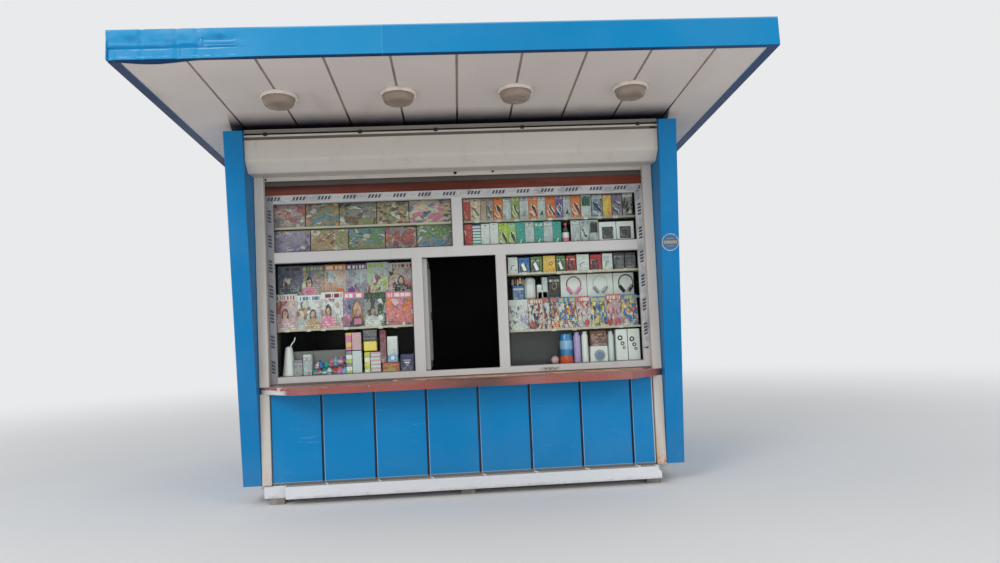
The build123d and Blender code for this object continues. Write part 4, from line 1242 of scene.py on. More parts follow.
RING_PROFILE = (
    (0, 0.0), (0.124, 0.0), (0.127, 0.006), (0.127, 0.017), (0.124, 0.023), (0.117, 0.026), (0.1100, 0.025),
    (0.1085, 0.0178), (0, 0.0178),
)
BOWL_PROFILE = (
    (0, 0.018), (0.1055, 0.018), (0.1065, 0.028), (0.1055, 0.046), (0.101, 0.060), (0.094, 0.071),
    (0.084, 0.077), (0.070, 0.0805), (0.040, 0.0825), (0, BOWL_DEPTH),
)


def build_lamps():
    """Round lamps: a stepped base ring with a clip, and a ribbed bowl."""
    ring, bowl = Maker(), Maker()
    for place in lamp_places():
        ring.lathe(RING_PROFILE, place, 64)
        turned = place @ Matrix.Rotation(math.radians(-12), 4, "Z")
        start = len(ring.bm.verts)
        ring.block((0.109, -0.009, 0.022), (0.1255, 0.009, 0.034), 0.002)
        ring.bm.verts.ensure_lookup_table()
        for vert in ring.bm.verts[start:]:
            vert.co = turned @ vert.co
        bowl.lathe(BOWL_PROFILE, place, 108, ripple=0.007, ribs=36)
    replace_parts(ring.make("lamp_rings", "lamp_plastic", "lamp plastic", smooth=30), "lamp_bases")
    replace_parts(bowl.make("lamp_bowls", "lamp_glass", "lamp bowl", smooth=40), "lamp_glasses")


def build_joint_strips():
    """Brown-grey strips set back in the open joints of the soffit."""
    strips = Maker()
    half, foot, top = SOFFIT_GAP / 2 - 0.0006, 0.0035, SOFFIT_THICK - 0.0005
    for x in SOFFIT_SEAMS:
        section = [(x - half, foot), (x + half, foot), (x + half, top), (x - half, top)]
        ends = HOLLOW + 0.002, CANOPY_LENGTH - SHEET - 0.002
        strips.loft([[ROOF @ Vector((x, v, w)) for x, w in section] for v in ends])
    strips.make("soffit_joint_strips", "soffit_paint", "joint strip")


def build_fixings():
    """Screw heads on the guides, the front panels and the soffit boards."""
    guide_x = (POST + high("shutter_guides").x) / 2
    guides, rivets, boards = [], [], []
    for x in (-guide_x, guide_x):
        guides += [((x, GUIDE_FACE, 1.02 + 0.30 * k), STREETWARD) for k in range(6)]
        guides += [((x, low("corner_posts").y, 0.24 + 0.28 * k), STREETWARD) for k in range(3)]
    joints = [-POST] + [FIRST_JOINT + BOARD * k for k in range(8)]
    for left, right in zip(joints, joints[1:]):
        for x in (left + 0.03, min(right, POST) - 0.03):
            rivets += [((x, PANEL_FACE, z), STREETWARD) for z in (0.195, 0.51, 0.825)]
    down = (ROOF.to_3x3() @ Vector((0, 0, -1))).normalized()
    for number, side in product(range(5), (-0.022, 0.022)):
        x = -1.61 + 2 * BOARD * number + side
        boards += [(ROOF @ Vector((x, 0.12 + 0.33 * k, 0.0)), down) for k in range(4)]
    for name, places, slot, finish, radius, height in (
        ("guide_screws", guides, "shutter_paint", "shutter paint", 0.0055, 0.0022),
        ("panel_rivets", rivets, "blue_paint", "panel paint", 0.0035, 0.0016),
        ("soffit_screws", boards, "soffit_paint", "soffit paint", 0.0045, 0.002),
    ):
        repeated(name, "Screw heads", places, slot, Radius=radius, Height=height, Material=FINISHES[finish])


def build_seals():
    """Dark rubber between each pane and its bead, and the sash's seals and handle."""
    seals = Maker()
    half_bar = (TRANSOM_TOP - TRANSOM_FOOT) / 2
    inset = BEAD - 0.0002
    for x0, x1, z0, z1 in (
        (-GLASS, -half_bar, TRANSOM_TOP, HEAD_FOOT), (half_bar, GLASS, TRANSOM_TOP, HEAD_FOOT),
        (-GLASS, -MULLION, SILL_TOP, TRANSOM_FOOT), (MULLION, GLASS, SILL_TOP, TRANSOM_FOOT),
    ):
        edges = x0 + inset, x1 - inset, z0 + inset, z1 - inset
        seals.bars(*edges, 0.0035, GLASS_FACE - 0.003, GLASS_FACE - 0.0002)
    seals.make("pane_seals", "window_plastic", "seal rubber")
    sash = Maker()
    (low_x, low_y, low_z), (high_x, high_y, high_z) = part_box("service_sash")
    bar, wide, thick = 0.048, 0.006, 0.004
    y0, y1, z0, z1 = low_y + bar, high_y - bar, low_z + bar, high_z - bar
    for x in (low_x + 0.018, high_x - 0.022):
        sash.block((x, y0, z0), (x + thick, y1, z0 + wide), 0.001)
        sash.block((x, y0, z1 - wide), (x + thick, y1, z1), 0.001)
        sash.block((x, y0, z0 + wide), (x + thick, y0 + wide, z1 - wide), 0.001)
        sash.block((x, y1 - wide, z0 + wide), (x + thick, y1, z1 - wide), 0.001)
    sash.make("sash_seals", "window_plastic", "seal rubber")
    edge = Maker()
    x, y0, y1, middle = high_x, high_y - 0.014, high_y - 0.004, (low_z + high_z) / 2
    edge.block((x, y0, low_z + 0.05), (x + 0.006, y1, middle - 0.05), 0.001)
    edge.block((x, y0, middle + 0.02), (x + 0.006, y1, high_z - 0.05), 0.001)
    edge.block((x, y0 - 0.012, middle - 0.045), (x + 0.010, y1, middle + 0.015), 0.002, 1)
    edge.make("sash_edge", "window_plastic", "window plastic", "seal rubber")


def build_film(name, place, length, mapped, ripple, play):
    """One wrinkled strip: place gives a point from (along, across, wave), ripple the height of its waves."""
    film = Maker()
    count = int(length / 0.012)
    rows = []
    for side in range(7):
        row = []
        for i in range(count + 1):
            s, t = length * i / count, side / 6
            wrinkle = 0.5 + 0.5 * noise.noise(Vector((s * 24, t * 2.4, 5)))
            wave = ripple(s) * wrinkle + ripple(s) * 0.5 * abs(math.sin(s * 61 + t * 4))
            edge = 0.004 * noise.noise(Vector((s * 16, t * 3, 9))) * play
            row.append(place(s, t, edge, STREET - 0.0012 - wave))
        rows.append(row)
    film.slab(rows, (0, 0.0004, 0))
    film.remap(mapped)
    film.make(name, "window_plastic", "printed film", smooth=35)


def build_films(sizes):
    """Strips of protective film left on the frame, wrinkled and partly peeled on the right."""
    width = sizes.film_width
    left, right, head = -POST + 0.001, POST - 0.001 - width, HEAD_TOP - 0.002
    over = 0.0006
    build_film(
        "film_head", lambda s, t, edge, y: (left + s, y, head - width + (t * width + edge)), 2 * POST - 0.002,
        lambda co: (co.x - left, (co.z - head + width) / width), lambda s: 0.0012, 0.2,
    )
    build_film(
        "film_left", lambda s, t, edge, y: (left + (t * width + edge), y - over, SILL_TOP - 0.042 + s),
        HEAD_FOOT - SILL_TOP + 0.05, lambda co: (co.z, 1 - (co.x - left) / width), lambda s: 0.0015, 0.3,
    )
    build_film(
        "film_right", lambda s, t, edge, y: (right + (t * width + edge), y - over, SILL_TOP + 0.10 + s),
        HEAD_FOOT - SILL_TOP - 0.09, lambda co: (co.z * 1.02, (co.x - right) / width),
        lambda s: 0.0045 + 0.003 * math.sin(9 * s), 1.6,
    )


def leaflet(maker, x0, x1, foot, top, y, lean, bow, front=0):
    """A magazine or colouring book that leans back, bowed a little."""
    rows = []
    for t in (i / 3 for i in range(4)):
        bows = [bow * math.sin(math.pi * j / 5) * (0.4 + 0.6 * t) for j in range(6)]
        rows.append([(lerp(x0, x1, j / 5), y + lean * t - bows[j], lerp(foot, top, t)) for j in range(6)])
    maker.slab(rows, (0, 0.004, 0), front, 1)


PICTURE_ROWS = (
    (AT_HIGH, 2.372, (-1.486, -1.229, -0.957, -0.655, -0.392, -0.045), (
        ("rose", "dusk", "dull red"), ("olive", "dull blue", "orange"), ("dusk", "olive", "brown"),
        ("tan", "olive", "brown"), ("cream", "pink", "dull blue"),
    )),
    (AT_LOW, 2.158, (-1.492, -1.194, -0.887, -0.591, -0.336, -0.045), (
        ("dusk", "lilac", "purple"), ("olive", "tan", "dull red"), ("dull blue", "olive", "moss"),
        ("dull red", "wine", "dusk"), ("moss", "dusk", "dull blue"),
    )),
)
COVER_ROWS = (
    (1.616, 1.880, 0.128, (-1.492, -1.300, -1.110, -0.935, -0.765, -0.590, -0.375), (
        ("steel", "brown", "dark"), ("steel", "yellow", "pink"), ("pale", "orange", "white"),
        ("pale", "purple", "grey"), ("pale", "lime", "dull red"), ("pale", "red", "dark"),
    )),
    (1.356, 1.640, 0.012, (-1.500, -1.318, -1.127, -0.951, -0.783, -0.606, -0.389), (
        ("pale", "red", "rose"), ("white", "steel", "tan"), ("white", "wine", "pink"),
        ("steel", "pink", "dark"), ("dark", "forest", "white"), ("orange", "pink", "steel"),
    )),
    (1.271, 1.527, 0.012, (0.386, 0.549, 0.680, 0.804, 0.953, 1.069, 1.202, 1.328, 1.461), (
        ("white", "pale", "lilac"), ("pale", "dull red", "navy"), ("navy", "orange", "pale"),
        ("cyan", "yellow", "dull red"), ("pale", "red", "pink"), ("cyan", "yellow", "navy"),
        ("rose", "red", "sky"), ("cyan", "yellow", "pink"),
    )),
)


def build_covers():
    """Colouring books on the upper shelves and magazines on the lower ones, with made-up fronts."""
    pictures, covers = Maker(), Maker(11)
    for foot, top, edges, inks in PICTURE_ROWS:
        for x0, x1, names in zip(edges, edges[1:], inks):
            pictures.dress(*names)
            tilt = pictures.dice.uniform(-0.004, 0.004)
            leaflet(pictures, x0 + 0.004, x1 - 0.003, foot, top + tilt, RACK_FRONT + 0.010, 0.022, 0.004)
    pictures.make("picture_books", "rack_board", "printed picture", "page edges", smooth=30)
    for foot, top, back, edges, inks in COVER_ROWS:
        for x0, x1, names in zip(edges, edges[1:], inks):
            covers.dress(*names)
            rise, front = covers.dice.uniform(-0.012, 0.006), 0 if x1 < 0 else 2
            leaflet(covers, x0 + 0.001, x1 - 0.001, foot, top + rise, RACK_FRONT + back, 0.028, 0.005, front)
    covers.make("magazines", "rack_board", "printed cover", "page edges", "printed comic", smooth=30)


PACK_ROWS = (
    (AT_HIGH, 2.368, (
        (0.050, 0.110, "card", ("red", "dull red", "white")),
        (0.112, 0.192, "loop", ("cream", "dull red", "tan")),
        (0.195, 0.243, "card", ("tan", "dusk", "olive")), (0.246, 0.300, "loop", ("dusk", "tan", "olive")),
        (0.303, 0.376, "cord", ("orange", "orange", "dark")),
        (0.379, 0.446, "plug", ("pale", "grey", "white")),
        (0.449, 0.516, "cord", ("olive", "lime", "dark")), (0.519, 0.590, "plug", ("pale", "dusk", "grey")),
        (0.592, 0.665, "cord", ("orange", "orange", "dark")),
        (0.667, 0.732, "plug", ("pale", "grey", "dark")),
        (0.735, 0.815, "cord", ("orange", "dull red", "dark")),
        (0.817, 0.878, "loop", ("purple", "steel", "pale")),
        (0.881, 0.942, "plug", ("pale", "dusk", "dark")),
        (0.944, 1.024, "cord", ("orange", "orange", "white")),
        (1.030, 1.113, "sign", ("pale", "forest", "green")),
        (1.119, 1.208, "loop", ("steel", "pale", "navy")),
        (1.212, 1.284, "card", ("yellow", "orange", "cream")),
        (1.288, 1.373, "loop", ("dusk", "purple", "grey")),
        (1.377, 1.462, "plug", ("dark", "white", "black")),
    )),
    (AT_LOW, 2.156, (
        (0.053, 0.120, "card", ("red", "dull red", "white")),
        (0.192, 0.262, "none", ("white", "pale", "grey")),
        (0.265, 0.334, "none", ("white", "pale", "grey")), (0.338, 0.412, "cord", ("lime", "olive", "dark")),
        (0.414, 0.479, "cord", ("lime", "teal", "dark")), (0.482, 0.553, "plug", ("teal", "teal", "white")),
        (0.555, 0.629, "card", ("pale", "grey", "dusk")), (0.632, 0.705, "plug", ("teal", "teal", "white")),
        (0.708, 0.783, "card", ("pale", "grey", "dusk")), (0.785, 0.855, "plug", ("teal", "teal", "white")),
        (0.935, 1.011, "plug", ("pale", "grey", "white")), (1.015, 1.088, "loop", ("pale", "dark", "white")),
        (1.091, 1.164, "sign", ("pale", "dark", "dusk")),
    )),
)


def hanging_pack(maker, x0, x1, foot, top, y, kind, names):
    """A flat card with a dark hanging slot, and what shows through its front."""
    maker.dress(*names)
    mid, wide, tall = (x0 + x1) / 2, x1 - x0, top - foot
    face = y - 0.006
    maker.block((x0, y, foot), (x1, y + 0.0025, top), 0.0008, 1, 0 if kind in ("cord", "loop") else 3)
    maker.dress("black")
    maker.block((mid - 0.010, y - 0.0006, top - 0.016), (mid + 0.010, y - 0.0001, top - 0.011), 0.0002, 1)

    def spot(across, up):
        return (mid + wide * across, face, foot + tall * up)

    if kind == "cord":
        for shift, name in ((0.19, "white"), (0.39, "dark")):
            maker.dress(name)
            cord = [spot(shift - 0.10 * k + 0.05 * math.sin(k * 1.6), 0.12 + 0.105 * k) for k in range(6)]
            maker.tube(cord, 0.0034, 6, 2)
    elif kind == "loop":
        maker.dress(names[2])
        turns = [math.pi * k / 8 for k in range(-3, 12)]
        maker.tube(arc(mid, face, foot + tall * 0.40, wide * 0.30, tall * 0.17, turns), 0.0030, 6, 2)
    elif kind == "plug":
        maker.dress(names[2])
        maker.tube([spot(-0.16, 0.16), spot(0.14, 0.34)], 0.0055, 8, 2)
        maker.tube([spot(0.10, 0.16), spot(-0.02, 0.27)], 0.0040, 6, 2)
    elif kind == "sign":
        maker.dress(names[1])
        plate = (x0 + 0.006, y - 0.003, foot + tall * 0.50), (x1 - 0.006, y - 0.0006, top - 0.022)
        maker.block(*plate, 0.001, 1)
        maker.dress("black")
        for k in range(3):
            left, near = x0 + 0.016 + (wide - 0.032) * k / 2.7, y - 0.0042
            maker.block((left, near, foot + tall * 0.56), (left + 0.007, y - 0.0031, top - 0.032), 0.0004, 1)


def build_packs():
    """Hanging packs of small goods beside the upper mullion, a stack of cards and a bottle."""
    packs, stack, bottle = Maker(23), Maker(), Maker()
    y = RACK_FRONT + 0.020
    for foot, top, row in PACK_ROWS:
        for x0, x1, kind, names in row:
            hanging_pack(packs, x0, x1, foot + 0.002, top + packs.dice.uniform(-0.006, 0.003), y, kind, names)
    packs.make("hanging_packs", "rack_board", "printed card", "plain card", "moulded plastic", "printed pack")
    for i in range(17):
        stack.dress("white" if i % 2 else ("teal" if i < 12 else "steel"))
        foot = AT_LOW + 0.0122 * i
        stack.block((0.123, y, foot), (0.188, y + 0.05, foot + 0.0118), 0.001)
    stack.make("card_stack", "rack_board", "plain card")
    for name, profile in (
        ("pink", [(0, 0), (0.028, 0), (0.030, 0.006), (0.030, 0.075), (0, 0.075)]),
        ("white", [(0, 0.0752), (0.030, 0.0752), (0.030, 0.118), (0, 0.118)]),
        ("black", [(0, 0.1182), (0.030, 0.1182), (0.028, 0.150), (0.018, 0.160), (0.018, 0.178), (0, 0.180)]),
        ("red", [(0, 0.1802), (0.017, 0.1802), (0.016, 0.198), (0, 0.200)]),
    ):
        bottle.dress(name)
        bottle.stand(profile, (0.893, y + 0.026, AT_LOW), 20)
    bottle.make("shelf_bottle", "rack_board", "moulded plastic", smooth=35)


def carton(maker, x0, x1, foot, top, y, depth, names, front=None):
    """A tuck-end carton, body and lid; by itself its front is slot 3 where the last ink is white, else 1."""
    front = front or (3 if names[2] == "white" else 1)
    maker.dress(*names)
    lid = top - min(0.02, (top - foot) * 0.15)
    maker.block((x0, y, foot), (x1, y + depth, lid - 0.0008), 0.0015, 0, front)
    maker.block((x0 + 0.0006, y + 0.0006, lid - 0.0012), (x1 - 0.0006, y + depth - 0.0006, top), 0.0012, 0)


SMALL_BOXES = (
    (0.402, 0.480, 1.868, ("white", "pale", "grey")), (0.488, 0.578, 1.862, ("blue", "dark", "white")),
    (0.588, 0.682, 1.866, ("moss", "black", "white")), (0.692, 0.792, 1.870, ("yellow", "orange", "brown")),
    (0.800, 0.876, 1.866, ("moss", "dark", "white")), (0.884, 0.960, 1.864, ("red", "black", "wine")),
    (0.970, 1.072, 1.872, ("white", "pale", "grey")), (1.084, 1.176, 1.866, ("red", "black", "white")),
    (1.184, 1.268, 1.872, ("white", "grey", "pale")), (1.278, 1.366, 1.874, ("dark", "grey", "pale")),
    (1.372, 1.462, 1.874, ("dark", "grey", "pale")),
)
CASE_BOXES = (
    (0.644, 0.684, 1.640, ("white", "pale", "grey")), (0.688, 0.732, 1.700, ("pale", "white", "grey")),
    (0.648, 0.734, 1.590, ("white", "pale", "grey")), (0.742, 0.836, 1.706, ("black", "dark", "brown")),
    (0.842, 1.062, 1.712, ("white", "rose", "white")), (1.066, 1.284, 1.712, ("white", "pale", "white")),
    (1.288, 1.462, 1.712, ("white", "pale", "white")),
)
RIGHT_BOXES = (
    (1.050, 1.190, AT_FOOT, 1.110, ("white", "pale", "white")),
    (1.054, 1.188, 1.111, 1.236, ("brown", "rose", "black")),
    (1.264, 1.358, AT_FOOT, 1.240, ("white", "pale", "white")),
    (1.364, 1.462, AT_FOOT, 1.240, ("white", "pale", "white")),
)
LEFT_BOXES = (
    (-0.606, -0.525, 1.120, 1.266, ("white", "pale", "rose")),
    (-0.606, -0.525, 1.060, 1.119, ("sky", "blue", "white")),
    (-0.650, -0.512, AT_FOOT, 1.056, ("dull red", "lime", "moss")),
    (-0.664, -0.616, 1.058, 1.318, ("wine", "dusk", "dull red")),
    (-0.503, -0.398, AT_FOOT, 1.116, ("navy", "dark", "navy")),
    (-1.352, -1.286, AT_FOOT, 1.110, ("dusk", "pale", "dull red")),
    (-1.280, -1.214, AT_FOOT, 1.150, ("pale", "dusk", "grey")),
)
VIAL_PROFILE = (
    (0, 0), (0.009, 0.002), (0.011, 0.02), (0.007, 0.032), (0.009, 0.042), (0.006, 0.05), (0, 0.053),
)
PATCH_SHAPES = (
    ("black", 0.0020, ((0.10, 0.06), (0.84, 0.06), (0.62, 0.66), (0.14, 0.60))),
    ("white", 0.0045, ((0.46, 0.10), (0.72, 0.16), (0.44, 0.66), (0.22, 0.54))),
)


def box_motif(goods, x0, wide, tall, y, names):
    """What a small box on the upper shelf shows: two slanted patches, a ring, or a bent cord."""
    def spots(shape, near):
        return [(x0 + wide * across, y - near, AT_BOXES + tall * up) for across, up in shape]

    if names[1] in ("dark", "black"):
        for name, near, shape in PATCH_SHAPES:
            goods.dress(("black", "wine")[name == "white"] if names[0] == "red" else name)
            goods.loft([spots(shape, 0.0002), spots(shape, near)], 2)
    elif names[0] == "yellow":
        mid, z = x0 + wide * 0.62, AT_BOXES + tall * 0.5
        goods.disc(mid, z, y, 0.016, 0.003, "brown", 16)
        goods.disc(mid, z, y - 0.0032, 0.009, 0.002, "yellow", 16)
    elif names[0] == "white":
        goods.dress("dark")
        goods.tube(spots(((0.3, 0.2), (0.36, 0.45), (0.66, 0.5)), 0.002), 0.0026, 6, 2)


def fill_case_shelf(goods, y):
    """Cartons, head sets, a coil, a white tub and small bottles on the right-hand middle shelf."""
    for x0, x1, top, names in CASE_BOXES:
        carton(goods, x0, x1, AT_CASES, top, y, 0.09, names)
    goods.dress("tan")
    coil = [(x, near, z + 0.004 * a) for a, (x, near, z) in
            ((0.7 * k, arc(0.789, y - 0.002, 1.610, 0.020, 0.032, [0.7 * k])[0]) for k in range(12))]
    goods.tube(coil, 0.0022, 5, 2)
    for mid, tone, pad in ((0.952, "wine", "pink"), (1.175, "pale", "grey"), (1.393, "black", "black")):
        goods.dress(tone)
        turns = [math.pi * (-0.12 + 1.24 * k / 16) for k in range(17)]
        goods.tube(arc(mid, y - 0.003, 1.630, 0.060, 0.064, turns), 0.0046, 6, 2)
        for side in (-1, 1):
            goods.dress(pad)
            lower = [(mid + side * (0.055 - 0.013 * k), y - 0.005, 1.604 - 0.017 * k) for k in range(4)]
            goods.tube(lower, 0.0150, 8, 2)
    goods.dress("white")
    goods.block((0.540, y, AT_CASES), (0.630, y + 0.08, 1.702), 0.02, 3)
    goods.disc(0.585, 1.668, y, 0.026, 0.004, "pale")
    for k, name in enumerate(("tan", "brown", "skin", "cream", "tan")):
        goods.dress(name)
        goods.stand(VIAL_PROFILE, (0.440 + 0.021 * k, y - 0.01, 1.640 + 0.012 * (k % 2)), 10, slot=2)
    carton(goods, 0.440, 0.532, AT_CASES, 1.639, y, 0.06, ("blue", "pale", "navy"))


def build_cartons():
    """Boxed goods on the shelves and at the window's foot, with their fronts and motifs, and rear boards, the
    black one as painted shade.
    """
    goods = Maker(37)
    y = RACK_FRONT + 0.014
    for x0, x1, top, names in SMALL_BOXES:
        carton(goods, x0, x1, AT_BOXES, top, y, 0.075, names, 1)
        box_motif(goods, x0, x1 - x0, top - AT_BOXES, y, names)
    fill_case_shelf(goods, y + 0.106)
    for x0, x1, foot, top, names in RIGHT_BOXES:
        carton(goods, x0, x1, foot, top, y, 0.10, names)
    goods.disc(1.124, 1.036, y, 0.046, 0.006, "grey", 24)
    goods.disc(1.124, 1.036, y - 0.0062, 0.030, 0.004, "steel", 24)
    for x, z in ((1.310, 1.130), (1.408, 1.118)):
        for dx, dz, radius in ((-0.012, 0.040, 0.021), (0.006, -0.006, 0.016), (0.018, -0.041, 0.012)):
            goods.disc(x + dx, z + dz, y, radius, 0.003, "black")
            goods.disc(x + dx, z + dz, y - 0.0032, radius * 0.45, 0.001, "white")
    for x0, x1 in ((1.170, 1.312), (1.316, 1.462)):
        carton(goods, x0, x1, AT_LOW, 2.134, y + 0.004, 0.08, ("white", "pale", "white"))
        mid = (x0 + x1) / 2
        goods.dress("dark")
        goods.block((mid - 0.046, y - 0.002, 1.994), (mid + 0.046, y + 0.0038, 2.092), 0.030, 2)
        goods.disc(mid, 2.041, y - 0.002, 0.042, 0.003, "stone", 18)
        goods.disc(mid, 2.041, y - 0.0052, 0.036, 0.002, "dark", 18)
    for x0, x1, foot, top, names in LEFT_BOXES:
        carton(goods, x0, x1, foot, top, y, 0.07, names, 1)
    goods.disc(-0.566, 1.092, y, 0.016, 0.003, "white", 16)
    goods.dress("stone")
    goods.block((-1.400, y + 0.075, AT_FOOT), (-0.950, y + 0.083, 1.176), 0.002)
    goods.block((-1.498, y, AT_FOOT), (-1.492, y + 0.16, 1.338), 0.001)
    # a black board behind the lower right goods, as painted shade inside
    goods.dress("black")
    goods.block((0.392, y + 0.150, AT_FOOT), (1.476, y + 0.156, 1.262), 0.002)
    for k, (wide, name) in enumerate(((0.030, "lilac"), (0.020, "white"), (0.011, "lilac"))):
        goods.dress(name)
        mid, z = -0.4505, 1.064 - 0.019 * k
        goods.block((mid - wide, y - 0.003, z), (mid + wide, y - 0.0002, z + 0.011), 0.001, 2)
    goods.make("boxed_goods", "rack_board", "plain card", "printed pack", "moulded plastic", "plain card")


CARD_STACKS = (
    (-0.938, -0.893, 12, AT_FOOT, ("lime", "white", "dusk")),
    (-0.889, -0.815, 12, AT_FOOT, ("pale", "pale", "dusk")),
    (-0.938, -0.893, 9, 1.170, ("pink", "yellow", "pink")),
    (-0.889, -0.815, 9, 1.170, ("rose", "rose", "rose")),
    (-0.792, -0.748, 11, AT_FOOT, ("white", "lime", "yellow")),
    (-0.744, -0.664, 11, AT_FOOT, ("rose", "pale", "dusk")),
)
TOYS = (
    "teal", "dull red", "teal", "white", "red", "pink", "sky",
    "white", "blue", "teal", "pink", "sky", "pink", "blue",
)
# Turned goods as (radius, height) points; a toy's heights are shares of its own
TOY_BODY = (0.023, 0.35), (0.020, 0.70), (0.010, 0.82), (0.014, 1)
TOY_BELT = (0.0236, 0.30), (0.0250, 0.34), (0.0236, 0.50), (0.0215, 0.50), (0.0215, 0.30), (0.0236, 0.30)
CONE_PROFILE = (
    (0, 0), (0.055, 0), (0.056, 0.012), (0.045, 0.09), (0.030, 0.22), (0.026, 0.236), (0.014, 0.244),
    (0, 0.246),
)
# Each bottle's place along X, radius, height and ink
BOTTLES = (
    (0.946, 0.029, 0.255, "lilac"), (1.012, 0.027, 0.258, "white"), (1.226, 0.028, 0.252, "pale"),
)
TUB_PARTS = (
    ("vermilion", ((0, 0), (0.050, 0), (0.054, 0.010), (0.052, 0.068), (0, 0.070)), 0.02),
    ("cyan", ((0, 0.070), (0.050, 0.070), (0.052, 0.09), (0.050, 0.225), (0.040, 0.245), (0, 0.247)), 0.0),
    ("sky", (
        (0.0525, 0.12), (0.0535, 0.125), (0.0535, 0.185), (0.0525, 0.19), (0.049, 0.19), (0.049, 0.12),
        (0.0525, 0.12),
    ), 0.0),
)


def build_loose_goods():
    """Stacked cards, a cone lamp, bottles, a ball and small toys on the bottom shelf."""
    goods = Maker(41)
    y = RACK_FRONT + 0.06
    goods.dress("white")
    goods.stand(CONE_PROFILE, (-1.40, y, AT_FOOT), 24)
    goods.tube([(-1.388, y, 1.214), (-1.372, y, 1.246), (-1.356, y, 1.262), (-1.348, y, 1.292)], 0.0055, 6)
    for x0, x1, count, foot, names in CARD_STACKS:
        for i in range(count):
            goods.dress(names[(i // 2) % 3] if x1 - x0 < 0.06 else names[i % 2])
            shift, z = goods.dice.uniform(-0.0015, 0.0015), foot + 0.0156 * i
            goods.block((x0 + shift, y - 0.04, z), (x1 + shift, y + 0.03, z + 0.0150), 0.0015)
    goods.dress("yellow")
    goods.block((-0.796, y - 0.04, 1.156), (-0.690, y + 0.03, 1.235), 0.006)
    goods.dress("black")
    goods.block((-0.800, y - 0.038, 1.236), (-0.686, y + 0.03, 1.330), 0.004)
    goods.dress("pale")
    for row, column in product(range(3), range(4)):
        x, z = -0.790 + 0.025 * column + 0.010 * (row % 2), 1.252 + 0.030 * row
        goods.block((x, y - 0.0388, z), (x + 0.006, y - 0.0378, z + 0.006), 0.0003)
    for i, name in enumerate(TOYS):
        layer, column = divmod(i, 7)
        tall = 0.058 + 0.012 * goods.dice.random()
        foot = AT_FOOT + layer * (0.050 + 0.006 * column)
        spot = Matrix.Translation((-1.190 + 0.038 * column + 0.006 * layer, y - 0.03 + 0.045 * layer, foot))
        place = spot @ Matrix.Rotation(goods.dice.uniform(-0.4, 0.4), 4, "Y")
        goods.dress(name)
        body = [(radius, tall * up) for radius, up in TOY_BODY]
        goods.lathe([(0, 0), (0.019, 0.002), *body, (0, tall)], place, 12, ripple=0.10, ribs=4)
        goods.dress(TOYS[(i + 5) % 14])
        goods.lathe([(radius, tall * up) for radius, up in TOY_BELT], place, 12)
    goods.dress("rose")
    ball, turns = 0.034, [math.pi * k / 10 for k in range(11)]
    half_circle = [(ball * math.sin(a), ball - ball * math.cos(a)) for a in turns]
    goods.stand(half_circle, (0.762, y + 0.02, AT_FOOT), 20)
    for x, radius, height, name in BOTTLES:
        shoulder, spot = height * 0.92, (x, y, AT_FOOT)
        goods.dress(name)
        body = [(radius, 0), (radius * 1.03, 0.006), (radius * 1.03, height * 0.86), (radius * 0.8, shoulder)]
        goods.stand([(0, 0), *body, (0, shoulder)], spot, 24)
        goods.dress(name)
        goods.stand([(0, shoulder), (radius * 0.72, shoulder), (radius * 0.7, height), (0, height)], spot, 20)
    for name, profile, ripple in TUB_PARTS:
        goods.dress(name)
        goods.stand(profile, (0.856, y, AT_FOOT), 28, ripple=ripple, ribs=8)
    goods.make("loose_goods", "rack_board", "moulded plastic", smooth=35)


CARD_ROWS = (
    (1.348, -1.45, -0.45, 7), (1.730, 0.45, 1.42, 7), (1.263, 0.45, 1.42, 5), (1.933, 0.12, 1.40, 10),
    (2.173, 0.12, 1.40, 9), (1.933, -1.40, -0.20, 4),
)


def build_price_cards():
    """Yellow and white price cards clipped along the shelf edges."""
    roll = random.Random(3).uniform
    places = []
    for z, start, end, count in CARD_ROWS:
        for i in range(count):
            x = lerp(start, end, (i + 0.5) / count) + roll(-0.03, 0.03)
            spot = (x, RACK_FRONT - 0.0012, z + roll(-0.003, 0.003))
            places.append((spot, Vector((roll(-0.05, 0.05), -1, roll(-0.1, 0.12))).normalized()))
    finish = FINISHES["price card"]
    repeated("price_cards", "Price cards", places, "rack_board", Width=0.034, Height=0.020, Material=finish)


